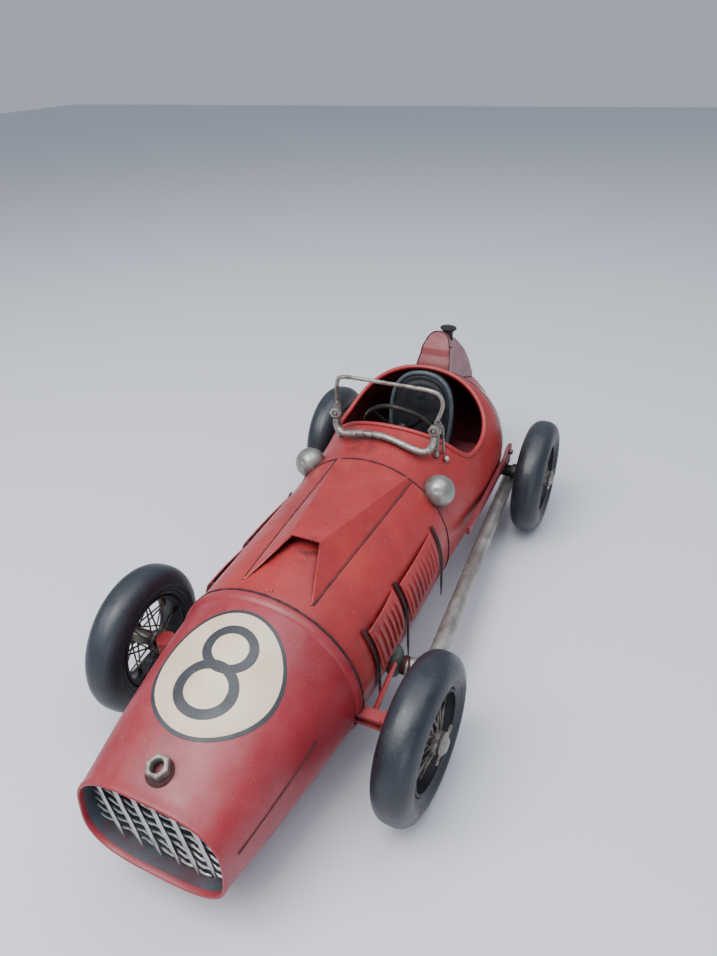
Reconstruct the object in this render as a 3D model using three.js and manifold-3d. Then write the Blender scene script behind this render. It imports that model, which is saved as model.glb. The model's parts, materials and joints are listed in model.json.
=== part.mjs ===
// A tin racing car with wire wheels and a friction motor on its rear axle.
// Millimetres, +Z up. Inside the group "car" y = 0 is the front axle, -y is the nose and z = 0 the ground.
import * as THREE from "three";
import { ConvexGeometry } from "three/addons/geometries/ConvexGeometry.js";
import { mergeVertices } from "three/addons/utils/BufferGeometryUtils.js";
import Module from "manifold-3d";

const wasm = await Module();
wasm.setup();

// ---- Driving dimensions ----
const GAP = 0.3;
const SHEET = 1.2;
const RIBS = 32;

const WHEELBASE = 202;
const HALF_TRACK = 67.5;
const TYRE_RADIUS = 34;
const TYRE_WIDTH = 17;
const TYRE_BORE = 21.4;
const AXLE_HEIGHT = TYRE_RADIUS;
const TOE_IN = THREE.MathUtils.degToRad(3);
const SPOKES = 20;
const AXLE_RADIUS = 2;

// Body cross-sections: place, half width, height of the widest line, top, underside
// and roundness of each half.
const SECTIONS = [
  { y: -79, half: 30, middle: 40, top: 60, bottom: 22, crown: 3, keel: 3 },
  { y: -40, half: 36.5, middle: 40, top: 72.5, bottom: 18.5, crown: 2.4, keel: 2.9 },
  { y: 3, half: 41.5, middle: 40.5, top: 82, bottom: 16, crown: 2.05, keel: 2.8 },
  { y: 103, half: 44, middle: 42, top: 85.5, bottom: 15, crown: 2.05, keel: 2.8 },
  { y: 130, half: 45.5, middle: 44, top: 88.5, bottom: 15, crown: 2.05, keel: 2.8 },
  { y: 165, half: 47.8, middle: 48.5, top: 96.5, bottom: 16, crown: 2.05, keel: 2.8 },
  { y: 190, half: 47.7, middle: 51, top: 99.5, bottom: 18, crown: 2.1, keel: 2.6 },
  { y: 205, half: 44, middle: 51, top: 92.7, bottom: 20, crown: 2.1, keel: 2.5 },
  { y: 220, half: 39.2, middle: 51, top: 82, bottom: 23, crown: 2.1, keel: 2.4 },
  { y: 255, half: 22, middle: 50, top: 67.5, bottom: 33, crown: 2.1, keel: 2.2 },
  { y: 288, half: 4, middle: 48, top: 53, bottom: 43, crown: 2, keel: 2 },
];
const NOSE = -79;
const NOSE_LEAN = 0.1;
const LEAN_FADES_BY = -30;
const BONNET_FRONT = 1.5;
const BONNET_REAR = 103.3;
const TAIL_FRONT = 200;
const TAIL_TIP = 288;

const PAN_UNDERSIDE = 18.4;
const PAN_THICKNESS = 1.3;
const PAN_FRONT = -11;
const PAN_REAR = 214;
const DECK_HEIGHT = 49.5;

// Side view of the cockpit opening: y and z of its edge, from front to back.
const COCKPIT_EDGE = [
  [134, 89.5],
  [139, 83],
  [143, 76],
  [149, 72],
  [160, 72.3],
  [170, 74.5],
  [179, 80],
  [186, 89],
  [190, 96],
  [191.5, 100],
];

const SCOOP_LIP_Y = 33;
const SCOOP_LIP_HALF = 7;
const SCOOP_RISE = 6.5;
const SCOOP_CENTRE = 3;

const LOUVRE_SPANS = [
  [17, 44],
  [48, 88],
];
const LOUVRE_TOP = 63;
const LOUVRE_BOTTOM = 43;
const LOUVRE_STANDOFF = 2.6;
const STRAP_WIDTH = 3;
const STRAP_FOOT = 25;

const LAMP_RADIUS = 8;
const LAMP_CENTRE = new THREE.Vector3(36, 109.2, 72.9);

const EXHAUST_RADIUS = 4;
const EXHAUST_FRONT = [57.4, 50, 27];
const EXHAUST_REAR = [50, 217, 24.2];
const EXHAUST_BORE_DEPTH = 10;
const CAP_CENTRE = { x: 3, y: 217 };

const GEAR_MODULE = 0.8;
const AXLE_GEAR_TEETH = 30;
const IDLER_PINION_TEETH = 10;
const IDLER_GEAR_TEETH = 30;
const FLYWHEEL_PINION_TEETH = 8;
const MOTOR_SHAFT_RADIUS = 1.5;
const FLYWHEEL_RADIUS = 12.3;

// The driver's left is +x, because the nose points to -y.
const SIDES = [
  [1, "left"],
  [-1, "right"],
];

// ---- Materials ----
function paint(color, roughness, metalness) {
  return new THREE.MeshStandardMaterial({ color, roughness, metalness });
}

const redPaint = () => paint(0xa52a2c, 0.45, 0.15);
const darkRed = () => paint(0x6d2326, 0.55, 0.15);
const agedSteel = () => paint(0x8d8a86, 0.42, 0.85);
const brightSteel = () => paint(0xb9b9b6, 0.3, 0.9);
const darkSteel = () => paint(0x3c3d3f, 0.5, 0.7);
const rubber = () => paint(0x2b333d, 0.62, 0);
const leather = () => paint(0x14181d, 0.6, 0);
const brass = () => paint(0xa98a4c, 0.35, 0.9);

// ---- Solids: closed geometries are joined and cut, and come back as geometry ----
function toSolid(geometry) {
  const loose = geometry.index ? geometry.toNonIndexed() : geometry;
  const bare = new THREE.BufferGeometry().setAttribute("position", loose.getAttribute("position").clone());
  const merged = mergeVertices(bare, 1e-3);
  const vertProperties = merged.attributes.position.array;
  const triVerts = new Uint32Array(merged.index.array);
  const solid = new wasm.Manifold(new wasm.Mesh({ numProp: 3, vertProperties, triVerts }));
  if (solid.volume() > 0) return solid;
  for (let i = 0; i < triVerts.length; i += 3) {
    [triVerts[i + 1], triVerts[i + 2]] = [triVerts[i + 2], triVerts[i + 1]];
  }
  return new wasm.Manifold(new wasm.Mesh({ numProp: 3, vertProperties, triVerts }));
}

function toGeometry(solid) {
  const mesh = solid.getMesh();
  const geometry = new THREE.BufferGeometry();
  geometry.setAttribute("position", new THREE.BufferAttribute(new Float32Array(mesh.vertProperties), 3));
  geometry.setIndex(new THREE.BufferAttribute(new Uint32Array(mesh.triVerts), 1));
  geometry.computeVertexNormals();
  return geometry;
}

const join = (...pieces) => toGeometry(pieces.map(toSolid).reduce((a, b) => a.add(b)));
function cut(piece, ...tools) {
  return toGeometry(tools.map(toSolid).reduce((a, b) => a.subtract(b), toSolid(piece)));
}

const overlap = (piece, other) => toGeometry(toSolid(piece).intersect(toSolid(other)));

function part(parent, name, geometry, material) {
  const mesh = new THREE.Mesh(geometry, material);
  mesh.name = name;
  parent.add(mesh);
  return mesh;
}

// ---- Plain shapes ----
function box(x0, x1, y0, y1, z0, z1) {
  const block = new THREE.BoxGeometry(x1 - x0, y1 - y0, z1 - z0);
  return block.translate((x0 + x1) / 2, (y0 + y1) / 2, (z0 + z1) / 2);
}

// A straight round bar between two points.
function bar(from, to, radius, sides = 8) {
  const a = new THREE.Vector3(...from);
  const b = new THREE.Vector3(...to);
  const along = b.clone().sub(a);
  const up = new THREE.Vector3(0, 1, 0);
  const turn = new THREE.Quaternion().setFromUnitVectors(up, along.clone().normalize());
  const middle = a.add(b).multiplyScalar(0.5);
  return new THREE.CylinderGeometry(radius, radius, along.length(), sides)
    .applyQuaternion(turn)
    .translate(middle.x, middle.y, middle.z);
}

// A bent round wire through a list of points.
function wire(points, radius, steps, sides = 8, tension = 0.5) {
  const corners = Array.from({ length: sides }, (_, i) => {
    const angle = (i * 2 * Math.PI) / sides;
    return new THREE.Vector2(radius * Math.cos(angle), radius * Math.sin(angle));
  });
  const round = new THREE.Shape(corners);
  const places = points.map((p) => new THREE.Vector3(...p));
  const path = new THREE.CatmullRomCurve3(places, false, "catmullrom", tension);
  return new THREE.ExtrudeGeometry(round, { steps, extrudePath: path, bevelEnabled: false });
}

// A flat outline in side view (y, z) extruded from x0 to x1.
function sidePlate(outline, x0, x1) {
  const shape = new THREE.Shape(outline.map(([y, z]) => new THREE.Vector2(y, z)));
  const plate = new THREE.ExtrudeGeometry(shape, { depth: x1 - x0, bevelEnabled: false });
  // shape x -> y, shape y -> z, depth -> x
  return plate.applyMatrix4(new THREE.Matrix4().set(0, 0, 1, x0, 1, 0, 0, 0, 0, 1, 0, 0, 0, 0, 0, 1));
}

// A flat outline in plan (x, y) extruded from z0 to z1.
function flatPlate(outline, z0, z1) {
  const shape = new THREE.Shape(outline.map(([x, y]) => new THREE.Vector2(x, y)));
  return new THREE.ExtrudeGeometry(shape, { depth: z1 - z0, bevelEnabled: false }).translate(0, 0, z0);
}

// An outline from one edge and its mirror image.
const mirrored = (edge) => [...edge, ...edge.map(([x, y]) => [-x, y]).reverse()];

// A turned piece about the X axis: profile points are [x, radius].
function turned(profile, segments) {
  const points = profile.map(([x, radius]) => new THREE.Vector2(radius, x));
  return new THREE.LatheGeometry(points, segments).rotateZ(-Math.PI / 2);
}

function hexNut(acrossFlats, bore, thickness) {
  const corner = acrossFlats / Math.sqrt(3);
  const nut = new THREE.CylinderGeometry(corner, corner, thickness, 6);
  return cut(nut, new THREE.CylinderGeometry(bore / 2, bore / 2, thickness * 2, 12));
}

// ---- The body's curved surface ----
function steadySlope(before, after) {
  return before * after <= 0 ? 0 : (2 * before * after) / (before + after);
}

function sectionValue(y, key) {
  const last = SECTIONS.length - 1;
  const place = Math.min(Math.max(y, SECTIONS[0].y), SECTIONS[last].y);
  const i = Math.min(last - 1, Math.max(0, SECTIONS.findIndex((s) => s.y >= place) - 1));
  const slope = (k) => {
    if (k < 0 || k >= last) return null;
    return (SECTIONS[k + 1][key] - SECTIONS[k][key]) / (SECTIONS[k + 1].y - SECTIONS[k].y);
  };
  const span = SECTIONS[i + 1].y - SECTIONS[i].y;
  const t = (place - SECTIONS[i].y) / span;
  const start = slope(i - 1) === null ? slope(i) : steadySlope(slope(i - 1), slope(i));
  const end = slope(i + 1) === null ? slope(i) : steadySlope(slope(i), slope(i + 1));
  const a = SECTIONS[i][key];
  const b = SECTIONS[i + 1][key];
  const rise = t * t * (3 - 2 * t);
  return a + (b - a) * rise + span * (start * t * (1 - t) ** 2 - end * t * t * (1 - t));
}

const rounded = (v, roundness) => Math.sign(v) * Math.abs(v) ** (2 / roundness);

// A point of the body at place y. The angle runs from the top (0) to the right side (90 degrees).
function bodyPoint(y, angle, offset) {
  const middle = sectionValue(y, "middle");
  const upper = Math.cos(angle) >= 0;
  const roundness = sectionValue(y, upper ? "crown" : "keel");
  const height = upper ? sectionValue(y, "top") - middle : middle - sectionValue(y, "bottom");
  const half = sectionValue(y, "half");
  const x = Math.max(0, half + offset) * rounded(Math.sin(angle), roundness);
  const z = middle + Math.max(0, height + offset) * rounded(Math.cos(angle), roundness);
  const lean = NOSE_LEAN * THREE.MathUtils.clamp((LEAN_FADES_BY - y) / (LEAN_FADES_BY - NOSE), 0, 1);
  return new THREE.Vector3(x, y + lean * (z - middle), z);
}

// Half width of the body at a height.
function halfWidthAt(y, z) {
  const middle = sectionValue(y, "middle");
  const upper = z >= middle;
  const reach = upper ? sectionValue(y, "top") - middle : middle - sectionValue(y, "bottom");
  const roundness = sectionValue(y, upper ? "crown" : "keel");
  const rise = Math.min(1, Math.abs(z - middle) / reach);
  return sectionValue(y, "half") * (1 - rise ** roundness) ** (1 / roundness);
}

// Height of the body's top surface at a place.
function topAt(x, y) {
  const middle = sectionValue(y, "middle");
  const crown = sectionValue(y, "crown");
  const across = Math.min(1, Math.abs(x) / sectionValue(y, "half"));
  return middle + (sectionValue(y, "top") - middle) * (1 - across ** crown) ** (1 / crown);
}

const AXIS = "axis";
const LATHE_DATUM = 100;

// A ring of sheet that follows the body: each profile point is [y, offset outwards],
// or [y, AXIS] on its centre line.
function bodySkin(profile) {
  const points = profile.map(([y, offset]) => {
    return new THREE.Vector2(offset === AXIS ? 0 : LATHE_DATUM + offset, y);
  });
  const skin = new THREE.LatheGeometry(points, RIBS);
  const position = skin.getAttribute("position");
  for (let i = 0; i < position.count; i++) {
    const radius = Math.hypot(position.getX(i), position.getZ(i));
    const onAxis = radius < LATHE_DATUM / 2;
    const angle = onAxis ? 0 : Math.atan2(position.getX(i), position.getZ(i));
    const y = position.getY(i);
    const place = bodyPoint(y, angle, onAxis ? 0 : radius - LATHE_DATUM);
    if (onAxis) position.setXYZ(i, 0, y, sectionValue(y, "middle"));
    else position.setXYZ(i, place.x, place.y, place.z);
  }
  return skin;
}

const closed = (profile) => [...profile, profile[0]];

// The body filled solid between two places, grown outwards by an offset.
function bodyBlock(places, offset) {
  const first = places[0];
  const last = places[places.length - 1];
  return bodySkin([[first, AXIS], ...places.map((y) => [y, offset]), [last, AXIS]]);
}

// ---- Body shells ----
const car = new THREE.Group();
const design = new THREE.Group();
design.add(car);

const belowPan = box(-60, 60, PAN_FRONT, PAN_REAR, 0, PAN_UNDERSIDE + PAN_THICKNESS + GAP);
const frontAxleSlot = box(-60, 60, -4, 4, AXLE_HEIGHT - 3.6, AXLE_HEIGHT + 3.6);

function addNoseShell() {
  const places = [-72, -62, -51, -40, -27, -13, -3];
  const outer = places.map((y) => [y, 0]);
  const inner = places.map((y) => [y, -SHEET]).reverse();
  const rolledLip = [
    [-77, -1.5],
    [-78.5, -1.2],
    [-79.2, -0.3],
    [-78.6, 0.7],
    [-77.2, 0.6],
  ];
  const bead = [
    [-2, 1],
    [0.2, 1],
    [BONNET_FRONT - GAP, 0],
    [BONNET_FRONT - GAP, -SHEET],
  ];
  const shell = bodySkin(closed([...rolledLip, ...outer, ...bead, ...inner]));
  part(car, "nose_shell", cut(shell, belowPan, frontAxleSlot), redPaint());
}

function addBonnet() {
  const places = [BONNET_FRONT, 20, 45, 75, BONNET_REAR];
  const inner = places.map((y) => [y, -SHEET]).reverse();
  const shell = bodySkin(closed([...places.map((y) => [y, 0]), ...inner]));
  part(car, "bonnet_shell", cut(shell, belowPan, frontAxleSlot), redPaint());
}

// The cockpit opening seen from the side, open at the top.
function cockpitOutline() {
  const edge = new THREE.CatmullRomCurve3(COCKPIT_EDGE.map(([y, z]) => new THREE.Vector3(0, y, z)));
  const points = edge.getPoints(16).map((p) => [p.y, p.z]);
  return [[points[0][0], 112], ...points, [points[16][0], 112]];
}

function sleeveSlot(side) {
  return bar([side * 36, WHEELBASE, AXLE_HEIGHT], [side * 60, WHEELBASE, AXLE_HEIGHT], 4.1, 12);
}

function addCowl() {
  const places = [BONNET_REAR + GAP, 115, 128, 141, 154, 167, 180, 190, TAIL_FRONT - GAP];
  const inner = places.map((y) => [y, -SHEET]).reverse();
  const shell = bodySkin(closed([...places.map((y) => [y, 0]), ...inner]));
  const opening = sidePlate(cockpitOutline(), -60, 60);
  const cowl = cut(shell, opening, belowPan, sleeveSlot(1), sleeveSlot(-1));
  part(car, "cowl_shell", cowl, redPaint());
}

function addTail() {
  const places = [TAIL_FRONT, 211, 223, 236, 249, 262, 275, TAIL_TIP];
  const outer = places.map((y) => [y, 0]);
  const inner = [...places.slice(0, -1), 282].map((y) => [y, -SHEET]).reverse();
  const shell = bodySkin([[283, AXIS], ...inner, ...outer, [TAIL_TIP + 1.5, -2], [TAIL_TIP + 2, AXIS]]);
  const hollow = cut(shell, belowPan, sleeveSlot(1), sleeveSlot(-1));
  part(car, "tail_shell", hollow, redPaint());
}

function addFloorPan() {
  const level = PAN_UNDERSIDE + PAN_THICKNESS;
  const places = [PAN_FRONT + GAP, 20, 60, 100, 140, 165, 185, 198, PAN_REAR - GAP];
  const edge = places.map((y) => [Math.max(9, halfWidthAt(y, level)), y]);
  part(car, "floor_pan", flatPlate(mirrored(edge), PAN_UNDERSIDE, level), darkRed());
}

function addSeatDeck() {
  const places = [112, 130, 150, 170, 190, 198];
  const inset = SHEET + GAP + 0.4;
  const clear = (y) => Math.min(halfWidthAt(y, DECK_HEIGHT), halfWidthAt(y, DECK_HEIGHT + SHEET)) - inset;
  const edge = places.map((y) => [clear(y), y]);
  part(car, "seat_deck", flatPlate(mirrored(edge), DECK_HEIGHT, DECK_HEIGHT + SHEET), darkRed());
}

function addScoop() {
  const rear = BONNET_REAR - 0.6;
  const lipFrom = SCOOP_CENTRE - SCOOP_LIP_HALF;
  const lipTo = SCOOP_CENTRE + SCOOP_LIP_HALF;
  const lipHeight = topAt(lipTo, SCOOP_LIP_Y) + SCOOP_RISE;
  const front = [-13, 19];
  const back = [-17, 23.5];
  // The folded plate's corners, moved inwards by a wall and forwards where its mouth is cut.
  const corners = (wall, forward) => {
    const at = ([x, y], lift) => new THREE.Vector3(x - Math.sign(x) * wall, y, topAt(x, y) + lift - wall);
    const points = [
      new THREE.Vector3(lipFrom + wall, SCOOP_LIP_Y - forward, lipHeight - wall),
      new THREE.Vector3(lipTo - wall, SCOOP_LIP_Y - forward, lipHeight - wall),
      ...back.map((x) => at([x, rear], 1.6)),
      ...front.map((x) => at([x, 8 - forward], 1.2)),
    ];
    const sunk = points.map((p) => p.clone().setZ(p.z - 12));
    return new ConvexGeometry([...points, ...sunk]);
  };
  const places = [-20, BONNET_FRONT, 20, 45, 75, BONNET_REAR + 4];
  const scoop = cut(corners(0, 0), corners(SHEET, 8), bodyBlock(places, GAP));
  part(car, "bonnet_scoop", scoop, redPaint());
}

// A dark strap in front of a flap or behind the last one: it follows the side, then hangs straight down.
function strapGeometry(side, front) {
  const y = front + STRAP_WIDTH / 2;
  const reach = (z, offset) => side * (halfWidthAt(y, Math.max(z, sectionValue(y, "middle"))) + offset);
  const levels = [LOUVRE_TOP + 1, 58, 52, 46, 40, STRAP_FOOT];
  const outer = levels.map((z) => new THREE.Vector2(reach(z, 0.6 + SHEET), -z));
  const inner = levels.map((z) => new THREE.Vector2(reach(z, 0.6), -z)).reverse();
  const outline = new THREE.Shape([...outer, ...inner]);
  return new THREE.ExtrudeGeometry(outline, { depth: STRAP_WIDTH, bevelEnabled: false })
    .rotateX(-Math.PI / 2)
    .translate(0, front, 0);
}

// A flap of louvred sheet that stands off the side at its front, with the strap it is riveted to.
function addLouvres(side, name) {
  LOUVRE_SPANS.forEach(([front, back], i) => {
    const middle = (front + back) / 2;
    const bulge = LOUVRE_STANDOFF * 0.7 + 0.4;
    const flap = bodySkin(
      closed([
        [front, LOUVRE_STANDOFF - SHEET],
        [front, LOUVRE_STANDOFF],
        [middle, bulge],
        [back, GAP + SHEET],
        [back, GAP],
        [middle, bulge - SHEET],
      ]),
    );
    const [inner, outer] = side > 0 ? [20, 60] : [-60, -20];
    const window = box(inner, outer, front - 1, back + 1, LOUVRE_BOTTOM, LOUVRE_TOP);
    const strap = strapGeometry(side, front - STRAP_WIDTH + 0.4);
    const place = i === 0 ? "front" : "rear";
    part(car, `louvre_flap_${place}_${name}`, join(overlap(flap, window), strap), redPaint());
  });
  part(car, `side_strap_${name}`, strapGeometry(side, LOUVRE_SPANS[1][1] + 1.5), darkSteel());
}

// A flat grille with slanting bars and thinner cross strands: a hole is left wherever four of them meet.
function addGrille() {
  const depth = -72.5;
  const middle = sectionValue(depth, "middle");
  const lean = -Math.atan(NOSE_LEAN * ((LEAN_FADES_BY - depth) / (LEAN_FADES_BY - NOSE)));
  const barPitch = 8.2;
  const barHalf = 1.1;
  const strandPitch = 7;
  const strandHalf = 0.7;
  const barSlope = 0.33;
  const strandSlope = -0.2;
  const border = 3.2;
  const rim = Array.from({ length: RIBS }, (_, i) => {
    return bodyPoint(depth, (-i * 2 * Math.PI) / RIBS, -SHEET - GAP);
  });
  const outline = new THREE.Shape(rim.map((p) => new THREE.Vector2(p.x, p.z - middle)));
  const plate = new THREE.ExtrudeGeometry(outline, { depth: 1.2, bevelEnabled: false });
  const holes = [];
  const inside = (p) => {
    const half = sectionValue(depth, "half") - border;
    const reach = (sectionValue(depth, "top") - sectionValue(depth, "bottom")) / 2 - border;
    return (Math.abs(p.x) / half) ** 3 + (Math.abs(p.y) / reach) ** 3 < 1;
  };
  // where bar line x = a - slope z meets strand line z = b + slope x
  const meet = (a, b) => {
    const z = (b + strandSlope * a) / (1 + strandSlope * barSlope);
    return new THREE.Vector2(a - barSlope * z, z);
  };
  for (let i = -5; i < 5; i++) {
    for (let j = -4; j < 4; j++) {
      const a = i * barPitch + barHalf;
      const b = j * strandPitch + strandHalf;
      const nextA = (i + 1) * barPitch - barHalf;
      const nextB = (j + 1) * strandPitch - strandHalf;
      const hole = [meet(a, b), meet(nextA, b), meet(nextA, nextB), meet(a, nextB)];
      if (!hole.every(inside)) continue;
      const punch = new THREE.ExtrudeGeometry(new THREE.Shape(hole), { depth: 4, bevelEnabled: false });
      holes.push(punch.translate(0, 0, -1));
    }
  }
  const grille = cut(plate, ...holes)
    .rotateX(Math.PI / 2)
    .rotateX(lean)
    .translate(0, depth + 0.6, middle);
  part(car, "grille", grille, brightSteel());
}

function addNoseNut() {
  const seat = topAt(0, -67) + 0.4;
  const nut = hexNut(8, 5, 4).rotateX(Math.PI / 2).rotateX(0.24).translate(0.8, -67, seat + 2.3);
  part(car, "nose_nut", nut, agedSteel());
}

function addLamps() {
  const places = [90, BONNET_REAR, 115, 128];
  for (const [side, name] of SIDES) {
    const ball = new THREE.SphereGeometry(LAMP_RADIUS, 16, 10)
      .rotateX(Math.PI / 2)
      .translate(side * LAMP_CENTRE.x, LAMP_CENTRE.y, LAMP_CENTRE.z);
    part(car, `headlamp_${name}`, cut(ball, bodyBlock(places, GAP)), brightSteel());
  }
}

// ---- Windscreen frame ----
function addWindscreen() {
  const frame = wire(
    [[-27.5, 127.6, 101], [-27.5, 127.6, 110], [-26.6, 127.4, 115.2], [-22, 127.2, 117.4], [0, 127, 117.6],
      [22, 127.2, 117.4], [26.6, 127.4, 115.2], [27.5, 127.6, 110], [27.5, 127.6, 101]],
    1.05, 22, 6, 0.4,
  );
  part(car, "windscreen_frame", frame, agedSteel());
  const tube = wire(
    [[-27.3, 124.6, 93.6], [-26.6, 123.4, 89.4], [-22.5, 122.3, 87], [-12, 122, 89], [0, 122, 90],
      [12, 122, 89], [22.5, 122.3, 87], [26.6, 123.4, 89.4], [27.3, 124.6, 93.6]],
    1.7, 18, 8,
  );
  part(car, "windscreen_tube", tube, agedSteel());
  for (const [side, name] of SIDES) {
    const nut = hexNut(5.5, 2.6, 2.4).translate(side * 27.3, 124.2, 97.2);
    part(car, `windscreen_nut_${name}`, nut, agedSteel());
    const post = bar([side * 27.5, 128.4, topAt(27.5, 128.4) + 1], [side * 27.5, 127.7, 100.6], 1.5, 8);
    const collar = bar([side * 28, 128.2, 94], [side * 28, 127.7, 100.4], 2, 8);
    const stud = bar([side * 27.3, 128, 97], [side * 27.3, 123.2, 97], 0.95, 8);
    const stay = bar([side * 29, 128.2, 99], [side * 29.6, 134.2, topAt(29.6, 134.2) + 0.9], 0.8, 6);
    part(car, `windscreen_post_${name}`, join(post, collar, stud, stay), agedSteel());
  }
}

// ---- Cockpit ----
function addSeat() {
  const outline = [[-17, 0], [17, 0], [19, 18], [18.4, 31], [14.5, 40.4], [8, 45], [0, 46.4], [-8, 45],
    [-14.5, 40.4], [-18.4, 31], [-19, 18]];
  const shape = new THREE.Shape(outline.map(([x, z]) => new THREE.Vector2(x, z)));
  const back = new THREE.ExtrudeGeometry(shape, { depth: 7, bevelEnabled: false })
    .rotateX(Math.PI / 2)
    .rotateX(-0.16)
    .translate(0, 182.5, DECK_HEIGHT + SHEET + 1.6);
  part(car, "seat_back", back, leather());
  const squab = [[153, 0.4], [151.8, 2.5], [152.4, 5.4], [154.6, 6.9], [164, 7], [175, 6.4], [174.6, 0.4]];
  const level = DECK_HEIGHT + SHEET;
  const cushion = sidePlate(squab.map(([y, z]) => [y, z + level]), -16.5, 16.5);
  part(car, "seat_cushion", cushion, leather());
}

const STEERING_TILT = Math.atan2(9, 19);
const STEERING_CENTRE = [0, 149, 79];

function addSteering() {
  const wheel = new THREE.Group();
  wheel.position.set(...STEERING_CENTRE);
  wheel.rotation.x = STEERING_TILT;
  car.add(wheel);
  // local +z of the wheel's group is the vertical of its plane, local +y its axis towards the driver
  const ring = new THREE.TorusGeometry(20.8, 1.4, 6, 24).rotateX(Math.PI / 2);
  const hub = new THREE.CylinderGeometry(3.6, 3.6, 3, 12);
  const spokes = [0, 1, 2, 3].map((k) => {
    const a = Math.PI / 4 + (k * Math.PI) / 2;
    const out = (reach) => [reach * Math.cos(a), 0, reach * Math.sin(a)];
    return bar(out(2.6), out(20.8), 0.9, 6);
  });
  const bore = new THREE.CylinderGeometry(1.6 + GAP, 1.6 + GAP, 8, 10);
  const turn = join(ring, hub, ...spokes);
  part(wheel, "steering_wheel", cut(turn, bore), darkSteel());
  const column = join(
    new THREE.CylinderGeometry(1.6, 1.6, 37, 10).translate(0, -16.5, 0),
    new THREE.CylinderGeometry(2.8, 2.8, 1.2, 10).translate(0, 2.4, 0),
    new THREE.CylinderGeometry(2.8, 2.8, 1.6, 10).translate(0, -2.6, 0),
  );
  part(wheel, "steering_column", column, darkSteel());
}

// ---- Headrest fairing and filler ----
const FIN_FRONT = 199.2;
const FIN_REAR = 284;
const FIN_TAPER = 0.0125;
const FIN_FACE = [
  [199.2, 90],
  [199.2, 98],
  [204, 107],
];
const FIN_RIDGE = [
  [211, 115],
  [230, 105.5],
  [248, 94.5],
  [266, 80.5],
  [283, 61.5],
];

function finBlock(inset) {
  const face = FIN_FACE.map(([y, z]) => [y + inset, z]);
  const ridge = FIN_RIDGE.map(([y, z], k) => [k === 0 ? y + inset : y - inset, z - inset]);
  const outline = [...face, ...ridge, [FIN_REAR - inset, 50]];
  const block = sidePlate(outline, -1, 1);
  const position = block.getAttribute("position");
  for (let i = 0; i < position.count; i++) {
    const y = position.getY(i);
    const above = Math.max(0, position.getZ(i) - topAt(0, y));
    const foot = THREE.MathUtils.mapLinear(y, FIN_FRONT, FIN_REAR, 10.6, 2);
    const half = foot * (1 - FIN_TAPER * above) - inset;
    position.setX(i, Math.sign(position.getX(i)) * half);
  }
  return block;
}

function addFin() {
  const places = [180, 190, TAIL_FRONT, 211, 223, 236, 249, 262, 275, TAIL_TIP];
  const fin = cut(finBlock(0), finBlock(SHEET), bodyBlock(places, GAP));
  part(car, "headrest_fin", fin, redPaint());
  const { x, y } = CAP_CENTRE;
  const neck = bar([x, y, 108], [x, y, 116], 3.2, 12);
  const flange = bar([x, y, 115.6], [x, y, 118], 5.4, 16);
  part(car, "filler_cap", cut(join(neck, flange), finBlock(-GAP)), darkSteel());
}

// ---- Exhaust, on the driver's left side only ----
function addExhaust() {
  const along = (t) => EXHAUST_FRONT.map((a, k) => a + (EXHAUST_REAR[k] - a) * t);
  const elbow = [
    [46.2, 35, 29],
    [49, 35.3, 28.8],
    [53.2, 37.6, 28.2],
    [56.6, 42.5, 27.4],
  ];
  const pipe = wire([...elbow, along(0), along(0.5), along(1)], EXHAUST_RADIUS, 24, 10);
  const length = EXHAUST_REAR[1] - EXHAUST_FRONT[1];
  const bore = bar(along(1 - EXHAUST_BORE_DEPTH / length), along(1.05), EXHAUST_RADIUS - 1, 10);
  part(car, "exhaust_pipe", cut(pipe, bore), agedSteel());
  const bulb = new THREE.SphereGeometry(6.5, 12, 8).scale(0.72, 1, 1.35).translate(42.8, 34, 31);
  const places = [-2, BONNET_FRONT, 20, 45, 75];
  const body = cut(bulb, bodyBlock(places, GAP), box(45.5, 60, 20, 50, 10, 50));
  part(car, "exhaust_manifold", body, darkSteel());
}

// ---- Running gear ----
function addFrontAxle() {
  const beam = box(-57, 57, -2.6, 2.6, AXLE_HEIGHT - 2.8, AXLE_HEIGHT + 2.8);
  const webs = [1, -1].map((face) => {
    const near = face > 0 ? 1.3 : -3;
    return box(-54, 54, near, near + 1.7, AXLE_HEIGHT - 1.5, AXLE_HEIGHT + 1.5);
  });
  const ends = [1, -1].map((side) => {
    const reach = HALF_TRACK + 8.2;
    const lean = side * Math.tan(TOE_IN);
    const stub = bar(
      [side * 50, -lean * side * (50 - HALF_TRACK), AXLE_HEIGHT],
      [side * reach, -lean * side * (reach - HALF_TRACK), AXLE_HEIGHT],
      AXLE_RADIUS, 12,
    );
    const boss = new THREE.CylinderGeometry(4.4, 4.4, 8, 12).rotateX(Math.PI / 2);
    return join(stub, boss.translate(side * 55, 0, AXLE_HEIGHT));
  });
  part(car, "front_axle_beam", join(cut(beam, ...webs), ...ends), darkRed());
  for (const [side, name] of SIDES) {
    const rod = bar([side * 46.4, 3.4, AXLE_HEIGHT + 0.5], [side * 46.4, 25, 40], 1.2, 6);
    part(car, `front_radius_rod_${name}`, rod, redPaint());
  }
}

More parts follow.
